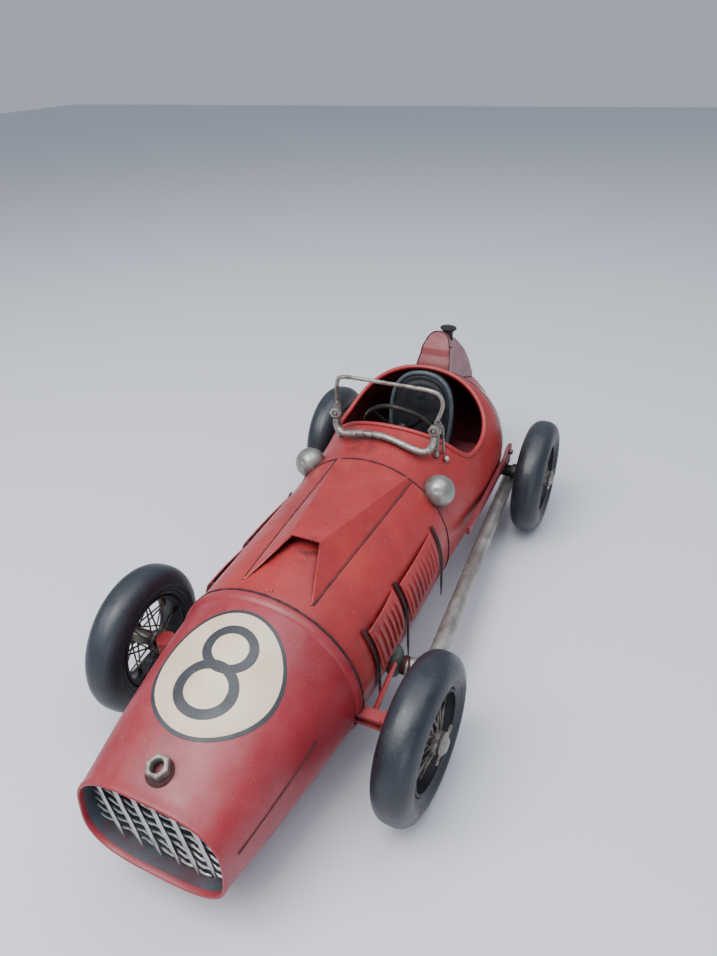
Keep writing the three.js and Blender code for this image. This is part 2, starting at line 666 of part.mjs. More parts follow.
function addRearArms() {
  for (const [side, name] of SIDES) {
    const outline = [
      [118, 43.5],
      [150, 43],
      [196, 43],
      [206, 45],
      [206, 51],
      [198, 52],
      [190, 48.5],
      [150, 47.5],
      [118, 47.5],
    ];
    const x = side > 0 ? 48.6 : -50.6;
    const bolt = bar([side * 50, 201, 48], [side * 52.4, 201, 48], 1.8, 6);
    const link = box(Math.min(x, x + 2), Math.max(x, x + 2), 199, 205, AXLE_HEIGHT + 5, 46);
    part(car, `rear_arm_${name}`, join(sidePlate(outline, x, x + 2), link, bolt), darkRed());
    const onAxle = (out) => [side * out, WHEELBASE, AXLE_HEIGHT];
    const sleeve = join(bar(onAxle(41), onAxle(56.5), 3.6, 12), bar(onAxle(53), onAxle(57), 4.8, 16));
    const bore = bar(onAxle(30), onAxle(60), AXLE_RADIUS + GAP, 12);
    part(car, `rear_bearing_${name}`, cut(sleeve, bore), darkSteel());
  }
}

// ---- Wheels: local +x points outboard ----
function tyreGeometry() {
  const profile = [[-6, TYRE_BORE]];
  const waist = 27;
  for (let k = -3; k <= 3; k++) {
    const a = (k / 3) * THREE.MathUtils.degToRad(128);
    profile.push([(TYRE_WIDTH / 2) * Math.sin(a), waist + (TYRE_RADIUS - waist) * Math.cos(a)]);
  }
  profile.push([6, TYRE_BORE]);
  return turned(closed(profile), 24);
}

function wireWheelGeometry() {
  const rim = turned(
    closed([[-6.4, 20], [-5.8, TYRE_BORE - GAP], [5.8, TYRE_BORE - GAP], [6.6, 20], [3, 19], [-3, 19]]), 20,
  );
  const hub = turned(closed([[-7.5, 2.3], [-7.5, 4.6], [8, 4.6], [8, 2.3]]), 12);
  const spokes = Array.from({ length: SPOKES }, (_, k) => {
    const outer = k % 2 === 0;
    const a = (k * 2 * Math.PI) / SPOKES;
    const b = a + (outer ? 1 : -1) * 0.42;
    const from = [outer ? 6.2 : -5.6, 4 * Math.cos(a), 4 * Math.sin(a)];
    const to = [outer ? 2 : -2, 19.8 * Math.cos(b), 19.8 * Math.sin(b)];
    return bar(from, to, 0.6, 4);
  });
  const bore = turned(closed([[-9, 0], [-9, AXLE_RADIUS + GAP], [9, AXLE_RADIUS + GAP], [9, 0]]), 12);
  return cut(join(rim, hub, ...spokes), bore);
}

function hubNutGeometry() {
  const boss = turned([[8.3, 0], [8.3, 5], [9.6, 4.4], [11, 2.2], [11, 0]], 12);
  const ears = box(8.3, 9.9, -1.7, 1.7, -8.2, 8.2);
  return join(boss, ears);
}

function addWheel(place, name, toe) {
  const wheel = new THREE.Group();
  wheel.position.set(...place);
  wheel.rotation.z = toe;
  car.add(wheel);
  part(wheel, `tyre_${name}`, tyreGeometry(), rubber());
  part(wheel, `wire_wheel_${name}`, wireWheelGeometry(), agedSteel());
  part(wheel, `hub_nut_${name}`, hubNutGeometry(), agedSteel());
}

// ---- Friction motor ----
function gear(teeth, from, to, phase, bore) {
  const pitch = (GEAR_MODULE * teeth) / 2;
  const root = pitch - 1.15 * GEAR_MODULE;
  const tip = pitch + 0.75 * GEAR_MODULE;
  const step = (2 * Math.PI) / teeth;
  const points = [];
  for (let k = 0; k < teeth; k++) {
    const centre = phase + k * step;
    for (const [radius, share] of [[root, -0.27], [tip, -0.08], [tip, 0.08], [root, 0.27]]) {
      const a = centre + share * step;
      points.push([radius * Math.cos(a), radius * Math.sin(a)]);
    }
  }
  const blank = sidePlate(points, from, to);
  const hole = [
    [from - 1, 0],
    [from - 1, bore],
    [to + 1, bore],
    [to + 1, 0],
  ];
  return cut(blank, turned(closed(hole), 12));
}

function addMotor() {
  const firstCentres = (GEAR_MODULE * (AXLE_GEAR_TEETH + IDLER_PINION_TEETH)) / 2;
  const secondCentres = (GEAR_MODULE * (IDLER_GEAR_TEETH + FLYWHEEL_PINION_TEETH)) / 2;
  const drop = 0;
  const idler = [WHEELBASE - Math.sqrt(firstCentres ** 2 - drop ** 2), AXLE_HEIGHT + drop];
  const flywheel = [idler[0] - Math.sqrt(secondCentres ** 2 - drop ** 2), AXLE_HEIGHT];
  const toIdler = Math.atan2(drop, idler[0] - WHEELBASE);
  const toFlywheel = Math.atan2(-drop, flywheel[0] - idler[0]);

  const rearAxle = new THREE.Group();
  rearAxle.position.set(0, WHEELBASE, AXLE_HEIGHT);
  car.add(rearAxle);
  const reach = HALF_TRACK + 8;
  part(rearAxle, "rear_axle", bar([-reach, 0, 0], [reach, 0, 0], AXLE_RADIUS, 12), agedSteel());
  part(rearAxle, "axle_gear", gear(AXLE_GEAR_TEETH, 3.4, 6.6, toIdler, AXLE_RADIUS + GAP), brass());

  const compound = new THREE.Group();
  compound.position.set(0, ...idler);
  car.add(compound);
  const pinionPhase = toIdler + Math.PI + Math.PI / IDLER_PINION_TEETH;
  part(compound, "idler_gear", join(
    gear(IDLER_PINION_TEETH, 0.6, 7.4, pinionPhase, MOTOR_SHAFT_RADIUS + GAP),
    gear(IDLER_GEAR_TEETH, -2, 1, toFlywheel, MOTOR_SHAFT_RADIUS + GAP),
  ), brass());
  part(compound, "idler_shaft", bar([-15.6, 0, 0], [11.6, 0, 0], MOTOR_SHAFT_RADIUS, 10), agedSteel());

  const spinner = new THREE.Group();
  spinner.position.set(0, ...flywheel);
  car.add(spinner);
  const spinPhase = toFlywheel + Math.PI + Math.PI / FLYWHEEL_PINION_TEETH;
  part(spinner, "flywheel_pinion", gear(FLYWHEEL_PINION_TEETH, -2.4, 1.4, spinPhase, 1.3), brass());
  part(spinner, "flywheel_shaft", bar([-15.6, 0, 0], [11.6, 0, 0], 1, 10), agedSteel());
  const rotor = [
    [-12.4, 1.3],
    [-12.4, FLYWHEEL_RADIUS],
    [-5, FLYWHEEL_RADIUS],
    [-5, 4],
    [-3, 3.4],
    [-3, 1.3],
  ];
  part(spinner, "flywheel", turned(closed(rotor), 24), darkSteel());

  const outline = [
    [153, 20],
    [190, 20],
    [198, 22.4],
    [208, 24.6],
    [208, 42],
    [199, 48],
    [188, 48],
    [162, 44],
    [153, 30],
  ];
  const holes = [
    [WHEELBASE, AXLE_HEIGHT, AXLE_RADIUS],
    [...idler, MOTOR_SHAFT_RADIUS],
    [...flywheel, 1],
  ].map(([y, z, radius]) => bar([-30, y, z], [30, y, z], radius + GAP, 12));
  const pillars = [[194, 45.9], [156.4, 24]].map(([y, z]) => bar([-15, y, z], [9.3, y, z], 1.2, 8));
  part(car, "motor_plate_left", cut(sidePlate(outline, 9.6, 9.6 + SHEET), ...holes), agedSteel());
  const pillared = cut(sidePlate(outline, -14.4 - SHEET, -14.4), ...holes);
  part(car, "motor_plate_right", join(pillared, ...pillars), agedSteel());
}

addNoseShell();
addBonnet();
addScoop();
addCowl();
addTail();
addFloorPan();
addSeatDeck();
for (const [side, name] of SIDES) {
  addLouvres(side, name);
}
addGrille();
addNoseNut();
addLamps();
addWindscreen();
addSeat();
addSteering();
addFin();
addExhaust();
addFrontAxle();
addRearArms();
addMotor();
for (const [side, name] of SIDES) {
  const facing = side > 0 ? 0 : Math.PI;
  addWheel([side * HALF_TRACK, 0, AXLE_HEIGHT], `front_${name}`, facing - side * TOE_IN);
  addWheel([side * HALF_TRACK, WHEELBASE, AXLE_HEIGHT], `rear_${name}`, facing);
}

// The part's origin is the middle of its footprint on the ground.
const extent = new THREE.Box3().setFromObject(car);
car.position.y = -(extent.min.y + extent.max.y) / 2;

export default design;
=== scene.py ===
import json
import math

import bmesh
import bpy
from mathutils import Matrix, Vector, noise


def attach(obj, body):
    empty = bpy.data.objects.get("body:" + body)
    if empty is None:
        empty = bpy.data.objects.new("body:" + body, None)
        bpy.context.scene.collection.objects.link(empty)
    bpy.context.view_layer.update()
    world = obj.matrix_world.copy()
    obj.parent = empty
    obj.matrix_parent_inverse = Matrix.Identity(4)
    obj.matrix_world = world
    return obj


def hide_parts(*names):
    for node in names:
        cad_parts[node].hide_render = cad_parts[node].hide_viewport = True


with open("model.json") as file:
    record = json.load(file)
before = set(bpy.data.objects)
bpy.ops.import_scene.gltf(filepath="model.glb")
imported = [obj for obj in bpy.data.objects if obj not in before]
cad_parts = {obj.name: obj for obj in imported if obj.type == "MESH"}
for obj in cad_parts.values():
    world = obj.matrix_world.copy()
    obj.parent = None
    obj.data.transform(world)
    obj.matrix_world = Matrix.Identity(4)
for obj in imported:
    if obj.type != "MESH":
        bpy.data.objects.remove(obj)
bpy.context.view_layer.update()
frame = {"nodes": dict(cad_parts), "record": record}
joints = {j["name"]: j for j in frame["record"]["behaviour"]["joints"]}
MM = 0.001
FRONT_AXLE_Y = joints["front_left_spin"]["pos_m"][1]
SIDES = ((1, "left"), (-1, "right"))


def place(p):
    return Vector((p[0] * MM, p[1] * MM + FRONT_AXLE_Y, p[2] * MM))


def from_row(p):
    return Vector((p[0] / MM, (p[1] - FRONT_AXLE_Y) / MM, p[2] / MM))


# ---- The body's curved surface, as in the CAD ----
SHEET = 1.2
SECTION_KEYS = ("y", "half", "middle", "top", "bottom", "crown", "keel")
SECTIONS = (
    (-79, 30, 40, 60, 22, 3, 3),
    (-40, 36.5, 40, 72.5, 18.5, 2.4, 2.9),
    (3, 41.5, 40.5, 82, 16, 2.05, 2.8),
    (103, 44, 42, 85.5, 15, 2.05, 2.8),
    (130, 45.5, 44, 88.5, 15, 2.05, 2.8),
    (165, 47.8, 48.5, 96.5, 16, 2.05, 2.8),
    (190, 47.7, 51, 99.5, 18, 2.1, 2.6),
    (205, 44, 51, 92.7, 20, 2.1, 2.5),
    (220, 39.2, 51, 82, 23, 2.1, 2.4),
    (255, 22, 50, 67.5, 33, 2.1, 2.2),
    (288, 4, 48, 53, 43, 2, 2),
)
NOSE_FRONT = -79
LEAN = 0.1
LEAN_END = -30


def steady_slope(before, after):
    return 0 if before * after <= 0 else 2 * before * after / (before + after)


def section(y, key):
    k = SECTION_KEYS.index(key)
    last = len(SECTIONS) - 1
    y = min(max(y, SECTIONS[0][0]), SECTIONS[last][0])
    i = next((n for n in range(1, last + 1) if SECTIONS[n][0] >= y), last) - 1

    def slope(n):
        if n < 0 or n >= last:
            return None
        return (SECTIONS[n + 1][k] - SECTIONS[n][k]) / (SECTIONS[n + 1][0] - SECTIONS[n][0])

    span = SECTIONS[i + 1][0] - SECTIONS[i][0]
    t = (y - SECTIONS[i][0]) / span
    start = slope(i) if slope(i - 1) is None else steady_slope(slope(i - 1), slope(i))
    end = slope(i) if slope(i + 1) is None else steady_slope(slope(i), slope(i + 1))
    rise = t * t * (3 - 2 * t)
    level = SECTIONS[i][k] + (SECTIONS[i + 1][k] - SECTIONS[i][k]) * rise
    return level + span * (start * t * (1 - t) ** 2 - end * t * t * (1 - t))


def rounded(v, roundness):
    return math.copysign(abs(v) ** (2 / roundness), v)


def body_point(y, angle, offset=0.0):
    middle = section(y, "middle")
    upper = math.cos(angle) >= 0
    roundness = section(y, "crown" if upper else "keel")
    height = section(y, "top") - middle if upper else middle - section(y, "bottom")
    x = max(0, section(y, "half") + offset) * rounded(math.sin(angle), roundness)
    z = middle + max(0, height + offset) * rounded(math.cos(angle), roundness)
    lean = LEAN * min(1, max(0, (LEAN_END - y) / (LEAN_END - NOSE_FRONT)))
    return Vector((x, y + lean * (z - middle), z))


def half_width_at(y, z):
    middle = section(y, "middle")
    upper = z >= middle
    reach = section(y, "top") - middle if upper else middle - section(y, "bottom")
    roundness = section(y, "crown" if upper else "keel")
    rise = min(1, abs(z - middle) / reach)
    return section(y, "half") * (1 - rise**roundness) ** (1 / roundness)


def top_at(x, y):
    middle = section(y, "middle")
    crown = section(y, "crown")
    across = min(1, abs(x) / section(y, "half"))
    return middle + (section(y, "top") - middle) * (1 - across**crown) ** (1 / crown)


# ---- Meshes ----
class Shape:
    """Points and faces in the car's frame, with a material number for each face."""

    def __init__(self, matrix=None):
        self.points = []
        self.faces = []
        self.numbers = []
        self.matrix = matrix

    def add(self, points, faces, number=0):
        base = len(self.points)
        for p in points:
            p = Vector(p)
            self.points.append(self.matrix @ p if self.matrix else p)
        self.faces += [tuple(base + i for i in face) for face in faces]
        self.numbers += [number] * len(faces)

    def grid(self, rows, wrap_rows=False, wrap_columns=False, number=0, row_numbers=None):
        """A sheet through rows of points of equal length."""
        across = len(rows[0])
        down = len(rows)
        base = len(self.points)
        self.add([p for row in rows for p in row], [])
        for i in range(down if wrap_rows else down - 1):
            for j in range(across if wrap_columns else across - 1):
                a, b = i * across, ((i + 1) % down) * across
                k = (j + 1) % across
                self.faces.append(tuple(base + n for n in (a + j, a + k, b + k, b + j)))
                self.numbers.append(row_numbers[i] if row_numbers else number)

    def slab(self, outer, inner, number=0, inner_number=None):
        """A closed sheet between two grids of the same size."""
        under = number if inner_number is None else inner_number
        self.grid(outer, number=number)
        self.grid([list(reversed(row)) for row in inner], number=under)
        edges = (
            (outer[0], inner[0]),
            ([row[-1] for row in outer], [row[-1] for row in inner]),
            (outer[-1][::-1], inner[-1][::-1]),
            ([row[0] for row in outer][::-1], [row[0] for row in inner][::-1]),
        )
        for near, far in edges:
            self.grid([far, near], number=number)

    def spun(self, profile, segments=64, number=0):
        """A closed profile of (along local x, radius) turned about local x."""
        rows = []
        for k in range(segments):
            a = 2 * math.pi * k / segments
            rows.append([(x, r * math.cos(a), r * math.sin(a)) for x, r in profile])
        self.grid(rows, wrap_rows=True, wrap_columns=True, number=number)

    def tube(self, path, radius, sides=12, closed=False, number=0, flat=1.0, up=None):
        """A bar of round or, with flat under 1, oval section along a path. up is the oval's thin way."""
        path = [Vector(p) for p in path]
        n = len(path)
        radii = radius if isinstance(radius, (list, tuple)) else [radius] * n
        tangents = []
        for i in range(n):
            before = path[(i - 1) % n] if closed or i else path[i]
            after = path[(i + 1) % n] if closed or i < n - 1 else path[i]
            tangents.append((after - before).normalized())
        normals = []
        normal = tangents[0].orthogonal().normalized()
        for tangent in tangents:
            lead = Vector(up) if up is not None else normal
            normal = (lead - tangent * lead.dot(tangent)).normalized()
            normals.append(normal)
        twist = 0.0
        if closed and up is None:
            end = (normals[-1] - tangents[0] * normals[-1].dot(tangents[0])).normalized()
            twist = math.atan2(end.cross(normals[0]).dot(tangents[0]), end.dot(normals[0]))
        rows = []
        for i in range(n):
            side = tangents[i].cross(normals[i])
            turn = twist * i / n
            row = []
            for k in range(sides):
                a = 2 * math.pi * k / sides + turn
                thin = normals[i] * math.cos(a) * radii[i] * flat
                row.append(path[i] + thin + side * math.sin(a) * radii[i])
            rows.append(row)
        base = len(self.points)
        self.grid(rows, wrap_rows=closed, wrap_columns=True, number=number)
        if not closed:
            last = base + (n - 1) * sides
            self.faces.append(tuple(range(base, base + sides)))
            self.faces.append(tuple(range(last + sides - 1, last - 1, -1)))
            self.numbers += [number, number]

    def box(self, low, high, number=0):
        (x0, y0, z0), (x1, y1, z1) = low, high
        corners = [(x, y, z) for x in (x0, x1) for y in (y0, y1) for z in (z0, z1)]
        faces = ((0, 1, 3, 2), (4, 6, 7, 5), (0, 4, 5, 1), (2, 3, 7, 6), (0, 2, 6, 4), (1, 5, 7, 3))
        self.add(corners, faces, number)


def make_mesh(name, shape):
    mesh = bpy.data.meshes.new(name)
    mesh.from_pydata([place(p) for p in shape.points], [], shape.faces)
    mesh.polygons.foreach_set("material_index", shape.numbers)
    mesh.update()
    return mesh


def clean(mesh):
    """Merges doubled points and makes every face look outwards."""
    work = bmesh.new()
    work.from_mesh(mesh)
    bmesh.ops.remove_doubles(work, verts=work.verts, dist=2e-6)
    bmesh.ops.dissolve_degenerate(work, edges=work.edges, dist=1e-6)
    bmesh.ops.recalc_face_normals(work, faces=work.faces)
    work.to_mesh(mesh)
    work.free()


def piece(name, shape, finish, slot, body="root", stands_for=(), bevel=0.0, sharp=35):
    """One visible piece. finish is a material or several, in the order of the shape's numbers."""
    mesh = make_mesh(name, shape)
    for material in finish if isinstance(finish, (list, tuple)) else [finish]:
        mesh.materials.append(material)
    clean(mesh)
    mesh.shade_smooth()
    mesh.set_sharp_from_angle(angle=math.radians(sharp))
    obj = bpy.data.objects.new(name, mesh)
    bpy.context.scene.collection.objects.link(obj)
    if bevel:
        add_bevel(obj, bevel)
    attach(obj, body)
    if stands_for:
        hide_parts(*stands_for)
    return obj


def add_bevel(obj, width):
    bevel = obj.modifiers.new("worn_edges", "BEVEL")
    bevel.width = width * MM
    bevel.segments = 2
    bevel.limit_method = "ANGLE"
    bevel.angle_limit = math.radians(40)
    bevel.harden_normals = True


def carve(obj, *cutters):
    """Cuts plain closed shapes out of a piece and keeps the result as its mesh."""
    helpers = []
    for shape in cutters:
        mesh = make_mesh("cutter", shape)
        clean(mesh)
        helper = bpy.data.objects.new("cutter", mesh)
        bpy.context.scene.collection.objects.link(helper)
        helpers.append(helper)
        cut = obj.modifiers.new("cut", "BOOLEAN")
        cut.operation = "DIFFERENCE"
        cut.solver = "EXACT"
        cut.object = helper
    bpy.context.view_layer.update()
    depsgraph = bpy.context.evaluated_depsgraph_get()
    mesh = bpy.data.meshes.new_from_object(obj.evaluated_get(depsgraph))
    obj.modifiers.clear()
    obj.data = mesh
    mesh.set_sharp_from_angle(angle=math.radians(35))
    for helper in helpers:
        bpy.data.objects.remove(helper)


def smooth_line(points, steps=8, closed=False):
    """A Catmull-Rom line through points."""
    points = [Vector(p) for p in points]
    n = len(points)
    out = []
    for i in range(n if closed else n - 1):
        p1, p2 = points[i], points[(i + 1) % n]
        p0 = points[(i - 1) % n] if closed or i else p1 * 2 - p2
        p3 = points[(i + 2) % n] if closed or i < n - 2 else p2 * 2 - p1
        for s in range(steps):
            t = s / steps
            a = p1 * 2 + (p2 - p0) * t
            b = (p0 * 2 - p1 * 5 + p2 * 4 - p3) * t * t
            c = (p1 * 3 - p0 - p2 * 3 + p3) * t**3
            out.append((a + b + c) * 0.5)
    if not closed:
        out.append(points[-1])
    return out


def facing(centre, axis):
    """A frame whose x looks along axis, placed at centre."""
    x = Vector(axis).normalized()
    up = Vector((0, 0, 1)) if abs(x.z) < 0.95 else Vector((0, 1, 0))
    z = (up - x * up.dot(x)).normalized()
    y = z.cross(x)
    turn = Matrix((x, y, z)).transposed()
    return Matrix.Translation(Vector(centre)) @ turn.to_4x4()


# ---- Finishes ----
def linear(code, alpha=1.0):
    """A colour given as it looks on screen, as the shader wants it."""
    values = [int(code[i : i + 2], 16) / 255 for i in (1, 3, 5)]
    return tuple(v / 12.92 if v < 0.04 else ((v + 0.055) / 1.055) ** 2.4 for v in values) + (alpha,)


class Finish:
    """A material built up in layers of colour, with noise of its own for each."""

    def __init__(self, name, color, roughness, metallic=0.0, coat=0.0):
        self.material = bpy.data.materials.new(name)
        self.material.use_nodes = True
        self.tree = self.material.node_tree
        self.shader = self.tree.nodes["Principled BSDF"]
        self.shader.inputs["Base Color"].default_value = linear(color)
        self.shader.inputs["Roughness"].default_value = roughness
        self.shader.inputs["Metallic"].default_value = metallic
        self.shader.inputs["Coat Weight"].default_value = coat
        self.shader.inputs["Coat Roughness"].default_value = 0.3
        self.coords = self.tree.nodes.new("ShaderNodeTexCoord").outputs["Object"]
        self.color = None
        self.base = linear(color)
        self.bump = None

    def node(self, kind, **values):
        made = self.tree.nodes.new(kind)
        for key, value in values.items():
            setattr(made, key, value)
        return made

    def link(self, start, end):
        self.tree.links.new(start, end)

    def noise(self, scale, detail=4.0, stretch=(1, 1, 1), roughness=0.55):
        mapping = self.node("ShaderNodeMapping")
        mapping.inputs["Scale"].default_value = stretch
        self.link(self.coords, mapping.inputs["Vector"])
        made = self.node("ShaderNodeTexNoise")
        made.inputs["Scale"].default_value = scale
        made.inputs["Detail"].default_value = detail
        made.inputs["Roughness"].default_value = roughness
        self.link(mapping.outputs["Vector"], made.inputs["Vector"])
        return made.outputs["Fac"]

    def curve(self, value, low, high, to_low=0.0, to_high=1.0):
        made = self.node("ShaderNodeMapRange")
        made.inputs["From Min"].default_value = low
        made.inputs["From Max"].default_value = high
        made.inputs["To Min"].default_value = to_low
        made.inputs["To Max"].default_value = to_high
        self.link(value, made.inputs["Value"])
        return made.outputs["Result"]

    def times(self, a, b):
        made = self.node("ShaderNodeMath", operation="MULTIPLY")
        self.link(a, made.inputs[0])
        self.link(b, made.inputs[1])
        return made.outputs["Value"]

    def layer(self, color, factor):
        """Lays a colour over what is there, by a factor from 0 to 1."""
        mix = self.node("ShaderNodeMix", data_type="RGBA")
        self.link(factor, mix.inputs["Factor"])
        if self.color is None:
            mix.inputs[6].default_value = self.base
        else:
            self.link(self.color, mix.inputs[6])
        mix.inputs[7].default_value = linear(color)
        self.color = mix.outputs[2]
        self.link(self.color, self.shader.inputs["Base Color"])
        return self

    def patches(self, color, scale, low, high, amount, detail=4.0, stretch=(1, 1, 1)):
        return self.layer(color, self.curve(self.noise(scale, detail, stretch), low, high, 0, amount))

    def crease_shade(self, color, distance, amount, low=0.25, high=0.85):
        """Painted shade: darkens where faces meet, as the ambient occlusion finds them, broken up by noise.
        """
        corner = self.node("ShaderNodeAmbientOcclusion", samples=6)
        corner.inputs["Distance"].default_value = distance
        painted_shade = self.curve(corner.outputs["AO"], low, high, amount, 0)
        spread = self.curve(self.noise(420, 4), 0.3, 0.62, 0.45, 1)
        return self.layer(color, self.times(painted_shade, spread))

    def dust(self, color, amount):
        """A film that settles on what faces up."""
        normal = self.node("ShaderNodeNewGeometry").outputs["Normal"]
        split = self.node("ShaderNodeSeparateXYZ")
        self.link(normal, split.inputs[0])
        up = self.curve(split.outputs["Z"], 0.2, 1, 0, amount)
        return self.layer(color, self.times(up, self.curve(self.noise(160, 6), 0.35, 0.7, 0.3, 1)))

    def dark_patch(self, color, centre, reach, amount):
        """A dark patch round one place, given in the car's frame: painted shade under parts, and darker
        spots on the paint.
        """
        away = self.node("ShaderNodeVectorMath", operation="DISTANCE")
        self.link(self.coords, away.inputs[0])
        away.inputs[1].default_value = place(centre)
        near = self.curve(away.outputs["Value"], reach * 0.0003, reach * 0.001, amount, 0)
        return self.layer(color, self.times(near, self.curve(self.noise(210, 7), 0.38, 0.62, 0.1, 1)))

    def dented(self, scale, strength, detail=2.0, stretch=(1, 1, 1)):
        bump = self.node("ShaderNodeBump")
        bump.inputs["Strength"].default_value = strength
        bump.inputs["Distance"].default_value = 0.0006
        self.link(self.noise(scale, detail, stretch), bump.inputs["Height"])
        if self.bump is not None:
            self.link(self.bump, bump.inputs["Normal"])
        self.bump = bump.outputs["Normal"]
        self.link(self.bump, self.shader.inputs["Normal"])
        return self

    def gloss(self, scale, low, high, detail=5.0, stretch=(1, 1, 1)):
        varied = self.curve(self.noise(scale, detail, stretch), 0.3, 0.7, low, high)
        self.link(varied, self.shader.inputs["Roughness"])
        return self


def red_finish(name, base, deep, pale, dust_amount=0.1, dark_patch_places=()):
    finish = Finish(name, base, 0.42, 0.0, 0.1)
    finish.patches(deep, 26, 0.38, 0.62, 0.55)
    finish.patches(pale, 70, 0.5, 0.72, 0.25)
    finish.dust("#a8787c", dust_amount)
    # Dark patches round given places: painted shade under parts, and darker spots on the paint.
    for centre, reach, amount in dark_patch_places:
        finish.dark_patch("#2a1a1c", centre, reach, amount)
    # Painted shade where faces meet, from ambient occlusion.
    finish.crease_shade("#24090c", 0.006, 0.95)
    finish.patches("#3a1214", 900, 0.66, 0.72, 0.5, 2.0)
    finish.patches("#d8a59c", 1300, 0.7, 0.76, 0.4, 2.0)
    finish.gloss(90, 0.34, 0.56)
    finish.dented(38, 0.35).dented(900, 0.06)
    return finish.material


# Dark patches on the worn red paint. The ones just under the headlamps, inside the scoop's mouth and round
# the foot of the windscreen are painted shade. The rest darken the paint by the front louvres, low on the
# rear louvres and near the nose seam.
WORN_RED_DARK_PATCHES = (
    ((-10, 116, 96), 18, 0.85), ((24, 118, 92), 12, 0.7), ((36, 108, 66), 9, 0.6), ((-36, 108, 66), 8, 0.5),
    ((6, 30, 84), 8, 0.95), ((46, 20, 60), 16, 0.5), ((47, 60, 48), 14, 0.6), ((28, 2, 78), 9, 0.4),
)
# The nose's dark patch lies just behind the nose nut.
NOSE_RED = red_finish("red_paint_nose", "#8c1c28", "#741620", "#a2303a", 0.16, (((0, -60, 70), 16, 0.25),))
RED = red_finish("red_paint_worn", "#9a2322", "#801a1d", "#ad3a30", 0.08, WORN_RED_DARK_PATCHES)
DEEP_RED = red_finish("red_paint_dull", "#701c22", "#57141a", "#84292d", 0.08)
FRAME_RED = red_finish("red_paint_running_gear", "#96262b", "#701b20", "#b24145", 0.08)
SIDE_RED = red_finish("red_paint_dusty", "#85393c", "#6e2c30", "#9a5558", 0.3)

# Painted shade: the insides of the bonnet, cowl and tail shells and the seat deck take a darker maroon than
# the red outside, with darker patches.
SHADED_INSIDE = Finish("shaded_inside_red", "#6e2833", 0.7)
SHADED_INSIDE.patches("#451a22", 40, 0.4, 0.7, 0.8).dented(300, 0.1)
# Painted shade inside the nose, seen through the grille: a dark blue-grey with maroon and darker patches.
SHADED_NOSE_INSIDE = Finish("shaded_nose_inside", "#474e57", 0.6)
SHADED_NOSE_INSIDE.patches("#5b2a30", 34, 0.48, 0.62, 0.8).patches("#23282e", 60, 0.4, 0.7, 0.6)
SHADED_NOSE_INSIDE.dented(300, 0.1)

BRIGHT = Finish("bright_steel_bars", "#b4b5b4", 0.34, 0.8)
# Painted shade where faces meet, from ambient occlusion, on the grille bars.
BRIGHT.patches("#77716a", 240, 0.52, 0.7, 0.75).crease_shade("#2b2724", 0.003, 0.8)
BRIGHT.gloss(300, 0.26, 0.5).dented(500, 0.2)

LAMP = Finish("lamp_steel_spun", "#94948f", 0.4, 0.75)
LAMP.patches("#6b665e", 130, 0.45, 0.68, 0.6).patches("#c2c3c0", 60, 0.52, 0.7, 0.5)
# Painted shade where faces meet, from ambient occlusion, on the lamps.
LAMP.crease_shade("#2a1a18", 0.006, 0.8).gloss(200, 0.3, 0.5).dented(260, 0.22)

AGED = Finish("aged_steel_tarnished", "#8f8c86", 0.4, 0.7)
AGED.patches("#55463f", 150, 0.46, 0.64, 0.8).patches("#b9b7b2", 420, 0.55, 0.72, 0.7)
# Painted shade where faces meet, from ambient occlusion, on the aged steel.
AGED.crease_shade("#241d1b", 0.004, 0.8).gloss(260, 0.3, 0.58).dented(420, 0.35)

PIPE = Finish("exhaust_steel", "#a3a09b", 0.4, 0.6)
PIPE.patches("#6f6963", 120, 0.44, 0.64, 0.75, 5.0, (1, 0.25, 1)).patches("#c4c2bd", 90, 0.52, 0.7, 0.6)
# Painted shade where faces meet, from ambient occlusion, on the exhaust.
PIPE.patches("#59524c", 60, 0.58, 0.7, 0.5).crease_shade("#241f1c", 0.004, 0.8)
PIPE.gloss(160, 0.32, 0.6).dented(260, 0.25)

CAST = Finish("cast_grey_green", "#5d645c", 0.62, 0.3)
CAST.patches("#3b403c", 160, 0.42, 0.62, 0.8).patches("#8b9485", 420, 0.56, 0.72, 0.5)
# Painted shade where faces meet, from ambient occlusion, on the manifold.
CAST.crease_shade("#1a1b1a", 0.004, 0.8).dented(520, 0.5)

BLACKED = Finish("blackened_steel", "#2a2626", 0.5, 0.45)
BLACKED.patches("#4a403c", 220, 0.5, 0.68, 0.7).patches("#161314", 90, 0.42, 0.6, 0.6)
BLACKED.gloss(240, 0.36, 0.62).dented(480, 0.25)

SPOKE = Finish("wheel_wire_dull", "#77706a", 0.45, 0.65)
SPOKE.patches("#2f2a28", 120, 0.44, 0.6, 0.85).patches("#b3afa8", 300, 0.56, 0.72, 0.5)
SPOKE.gloss(260, 0.32, 0.58).dented(420, 0.2)
# Painted shade: the rim, deep inside the tyre, takes a much darker steel than the spokes.
SHADED_RIM = Finish("wheel_rim_shaded", "#24262b", 0.5, 0.4)
SHADED_RIM.patches("#3b3a3a", 150, 0.5, 0.7, 0.6).gloss(200, 0.4, 0.6).dented(300, 0.12)

DARK_LINE = Finish("dark_solder_line", "#3c1418", 0.7)
DARK_LINE.patches("#180b0d", 120, 0.42, 0.6, 0.85).dented(700, 0.5)

RUBBER = Finish("tyre_rubber", "#191e26", 0.42)
RUBBER.patches("#232a33", 45, 0.4, 0.65, 0.7).patches("#101419", 30, 0.45, 0.65, 0.6)
RUBBER.dust("#4a525b", 0.22).patches("#7a8087", 1000, 0.68, 0.76, 0.4, 2.0)
# Painted shade where faces meet, from ambient occlusion, on the tyres.
RUBBER.crease_shade("#0d1014", 0.003, 0.7).gloss(80, 0.3, 0.52).dented(600, 0.12).dented(60, 0.12)

